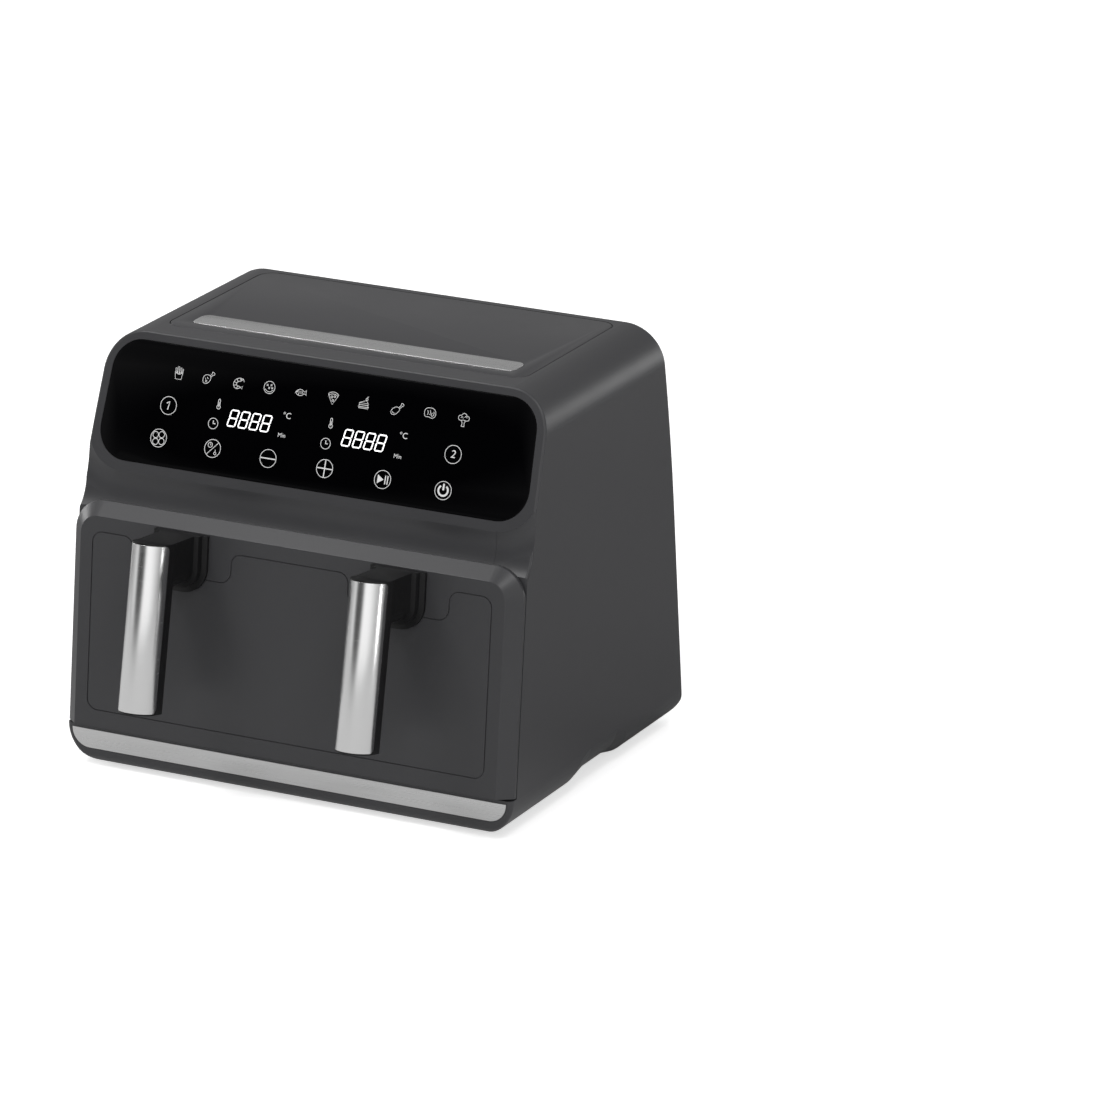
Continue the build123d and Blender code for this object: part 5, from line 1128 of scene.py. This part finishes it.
@dataclass
class HeatUnit:
    """Heater, fan and motor over one zone.

    Attributes:
        side: left or right.
    """

    side: str

    def build(self, shop: Workshop) -> None:
        """Dresses the unit."""
        for slot, stem in (
            (Slot.CAVITY, "heater_dish"),
            (Slot.CAVITY, "heater_guard"),
            (Slot.CAVITY, "motor_bracket"),
            (Slot.ELEMENT, "heating_element"),
            (Slot.ELEMENT, "motor_shaft"),
            (Slot.HOT_FAN, "hot_air_fan"),
            (Slot.COOL_FAN, "cooling_fan"),
            (Slot.MOTOR, "fan_motor"),
            (Slot.THERMOSTAT, "thermostat"),
        ):
            shop.paint(slot, f"{stem}_{self.side}")


@dataclass(frozen=True)
class Lamp:
    """One soft box.

    Attributes:
        name: name of the lamp.
        place: where it hangs, in metres.
        size: its width and height in metres.
        watts: its power.
    """

    name: str
    place: Place
    size: Point
    watts: float

    def hang(self, aim: Place) -> None:
        """Hangs the lamp so that it faces a point and stays out of the picture."""
        data = bpy.data.lights.new(self.name, "AREA")
        data.shape = "RECTANGLE"
        data.size, data.size_y = self.size
        data.energy = self.watts
        box = bpy.data.objects.new(self.name, data)
        box.visible_camera = False
        look = (Vector(aim) - Vector(self.place)).to_track_quat("-Z", "Y")
        box.matrix_world = Matrix.Translation(self.place) @ look.to_matrix().to_4x4()
        bpy.context.scene.collection.objects.link(box)


LAMPS = (
    Lamp("overhead_box", (0.9, -0.5, 1.7), (0.5, 0.4), 6.0),
    Lamp("neck_box", (-0.8, -0.75, 1.7), (0.4, 0.4), 8.0),
    Lamp("top_box", (-0.75, 0.25, 1.8), (0.7, 0.7), 4.0),
    Lamp("left_box", (-2.0, 0.55, 0.6), (0.5, 0.5), 9.0),
    Lamp("right_strip", (1.7, 0.0, 0.2), (0.25, 0.5), 2.0),
    Lamp("rear_box", (1.0, 1.9, 0.35), (0.8, 0.5), 4.0),
)


@dataclass
class Studio:
    """Pale floor, soft light and the camera.

    Attributes:
        eye: camera place in metres.
        right: the picture's right in the frame.
        up: the picture's up in the frame.
        back: direction from the object to the camera.
        lens: focal length in mm on a sensor of the given width.
        sensor: width of the sensor in mm.
        middle: point that the lamps face, in metres.
        floor_size: half the floor's width in metres.
        floor_drop: how far the floor lies under the feet in metres.
        floor_lift: light of the floor's own that whitens it for the camera.
        mirrored_lift: share of that light that mirrors show, ahead of the object.
        turning: Y in metres over which that share grows towards the front.
        dim_aim: direction that the control glass mirrors to the camera.
        dim_rim: cosines of the angles from it at which the room starts and stops dimming.
        dim_level: share of the light left there.
        room_rim: cosines of the angles from the front between which the room's light grows.
        room_level: the room's light at the rear and at the front.
    """

    eye: Place = (2.4669, -4.4977, 1.9208)
    right: Place = (0.89061, 0.45477, 0.0)
    up: Place = (-0.14693, 0.28775, 0.94637)
    back: Place = (0.43038, -0.84285, 0.32309)
    lens: float = 7000 / 1100 * 36
    sensor: float = 36.0
    middle: Place = (0.0, 0.0, 0.15)
    floor_size: float = 12.0
    floor_drop: float = 0.3 * MM
    floor_lift: float = 0.6
    mirrored_lift: float = 0.55
    turning: Point = (0.1, -0.1)
    dim_aim: Place = (-0.43, -0.848, 0.309)
    dim_rim: Point = (0.87, 0.962)
    dim_level: float = 0.03
    room_rim: Point = (0.1, 0.8)
    room_level: Point = (0.36, 1.15)

    def camera(self) -> None:
        """Places the camera at the photograph's angle."""
        data = bpy.data.cameras.new("camera")
        data.sensor_width = self.sensor
        data.lens = self.lens
        data.clip_start = 0.1
        data.clip_end = 60.0
        view = bpy.data.objects.new("camera", data)
        turn = Matrix((Vector(self.right), Vector(self.up), Vector(self.back))).transposed()
        view.matrix_world = Matrix.Translation(self.eye) @ turn.to_4x4()
        bpy.context.scene.collection.objects.link(view)
        bpy.context.scene.camera = view

    def floor(self) -> None:
        """Lays a pale floor that can be looked through from below."""
        paper = bpy.data.materials.new("white_studio_paper")
        paper.use_nodes = True
        tree = paper.node_tree
        tree.nodes.clear()
        rays = add_node(tree, "ShaderNodeLightPath")
        lift = add_node(
            tree, "ShaderNodeEmission", {"Color": linear("#ffffff"), "Strength": self.floor_lift}
        )
        none = add_node(tree, "ShaderNodeEmission", {"Strength": 0.0})
        spot = add_node(tree, "ShaderNodeTexCoord").outputs["Object"]
        depth = add_node(tree, "ShaderNodeSeparateXYZ", {0: spot}).outputs["Y"]
        ahead = add_node(
            tree,
            "ShaderNodeMapRange",
            {
                "Value": depth,
                "From Min": self.turning[0],
                "From Max": self.turning[1],
                "To Min": 0.0,
                "To Max": self.mirrored_lift,
            },
        )
        mirrored = add_node(
            tree,
            "ShaderNodeMath",
            {0: rays.outputs["Is Glossy Ray"], 1: ahead.outputs["Result"]},
            operation="MULTIPLY",
        )
        share = add_node(
            tree,
            "ShaderNodeMath",
            {0: rays.outputs["Is Camera Ray"], 1: mirrored.outputs[0]},
            operation="MAXIMUM",
        )
        glow = add_node(
            tree, "ShaderNodeMixShader", {0: share.outputs[0], 1: none.outputs[0], 2: lift.outputs[0]}
        )
        tone = add_node(
            tree,
            "ShaderNodeMix",
            {0: rays.outputs["Is Glossy Ray"], 6: linear("#f4f4f4"), 7: linear("#a0a0a0")},
            data_type="RGBA",
        )
        matt = add_node(tree, "ShaderNodeBsdfDiffuse", {"Color": tone.outputs[2]})
        both = add_node(tree, "ShaderNodeAddShader", {0: matt.outputs[0], 1: glow.outputs[0]})
        side = add_node(tree, "ShaderNodeNewGeometry")
        clear = add_node(tree, "ShaderNodeBsdfTransparent")
        seen = add_node(
            tree,
            "ShaderNodeMixShader",
            {0: side.outputs["Backfacing"], 1: both.outputs[0], 2: clear.outputs[0]},
        )
        add_node(tree, "ShaderNodeOutputMaterial", {"Surface": seen.outputs[0]})
        shape = bmesh.new()
        bmesh.ops.create_grid(shape, x_segments=1, y_segments=1, size=self.floor_size)
        bmesh.ops.translate(shape, verts=shape.verts, vec=(0, 0, -self.floor_drop))
        mesh = finished(shape, "floor")
        mesh.materials.append(paper)
        floor = bpy.data.objects.new("floor", mesh)
        bpy.context.scene.collection.objects.link(floor)
        floor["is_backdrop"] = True

    def world(self) -> None:
        """Lights the room softly, more from the front, with a dim corner that the glass mirrors."""
        world = bpy.data.worlds.new("studio")
        bpy.context.scene.world = world
        world.use_nodes = True
        tree = world.node_tree
        tree.nodes.clear()
        toward = add_node(tree, "ShaderNodeTexCoord").outputs["Generated"]
        aim = Vector(self.dim_aim).normalized()
        near = add_node(
            tree, "ShaderNodeVectorMath", {0: toward, 1: tuple(aim)}, operation="DOT_PRODUCT"
        )
        dim = add_node(
            tree,
            "ShaderNodeMapRange",
            {
                "Value": near.outputs["Value"],
                "From Min": self.dim_rim[0],
                "From Max": self.dim_rim[1],
                "To Min": 1.0,
                "To Max": self.dim_level,
            },
        )
        ahead = add_node(
            tree, "ShaderNodeVectorMath", {0: toward, 1: (0, -1, 0)}, operation="DOT_PRODUCT"
        )
        wall = add_node(
            tree,
            "ShaderNodeMapRange",
            {
                "Value": ahead.outputs["Value"],
                "From Min": self.room_rim[0],
                "From Max": self.room_rim[1],
                "To Min": self.room_level[0],
                "To Max": self.room_level[1],
            },
        )
        level = add_node(
            tree,
            "ShaderNodeMath",
            {0: dim.outputs["Result"], 1: wall.outputs["Result"]},
            operation="MULTIPLY",
        )
        room = add_node(
            tree,
            "ShaderNodeBackground",
            {"Color": linear("#ffffff"), "Strength": level.outputs[0]},
        )
        white = add_node(tree, "ShaderNodeBackground", {"Color": linear("#ffffff"), "Strength": 1.0})
        rays = add_node(tree, "ShaderNodeLightPath")
        seen = add_node(
            tree,
            "ShaderNodeMixShader",
            {0: rays.outputs["Is Camera Ray"], 1: room.outputs[0], 2: white.outputs[0]},
        )
        add_node(tree, "ShaderNodeOutputWorld", {"Surface": seen.outputs[0]})

    def build(self) -> None:
        """Sets up the whole studio."""
        bpy.context.scene.view_settings.view_transform = "Standard"
        self.camera()
        self.floor()
        self.world()
        for lamp in LAMPS:
            lamp.hang(self.middle)


def clear_scene() -> None:
    """Empties Blender's start scene."""
    for item in list(bpy.data.objects):
        bpy.data.objects.remove(item)


def main() -> None:
    """Builds the dressed fryer and its studio."""
    logging.basicConfig(level=logging.INFO, format="%(name)s: %(message)s")
    clear_scene()
    shop = Workshop()
    for group in (Body(), ControlPanel(), Drawer(), Inserts(), *map(HeatUnit, SIDES)):
        group.build(shop)
        log.info("finished %s", type(group).__name__)
    Studio().build()


if __name__ == "__main__":
    main()
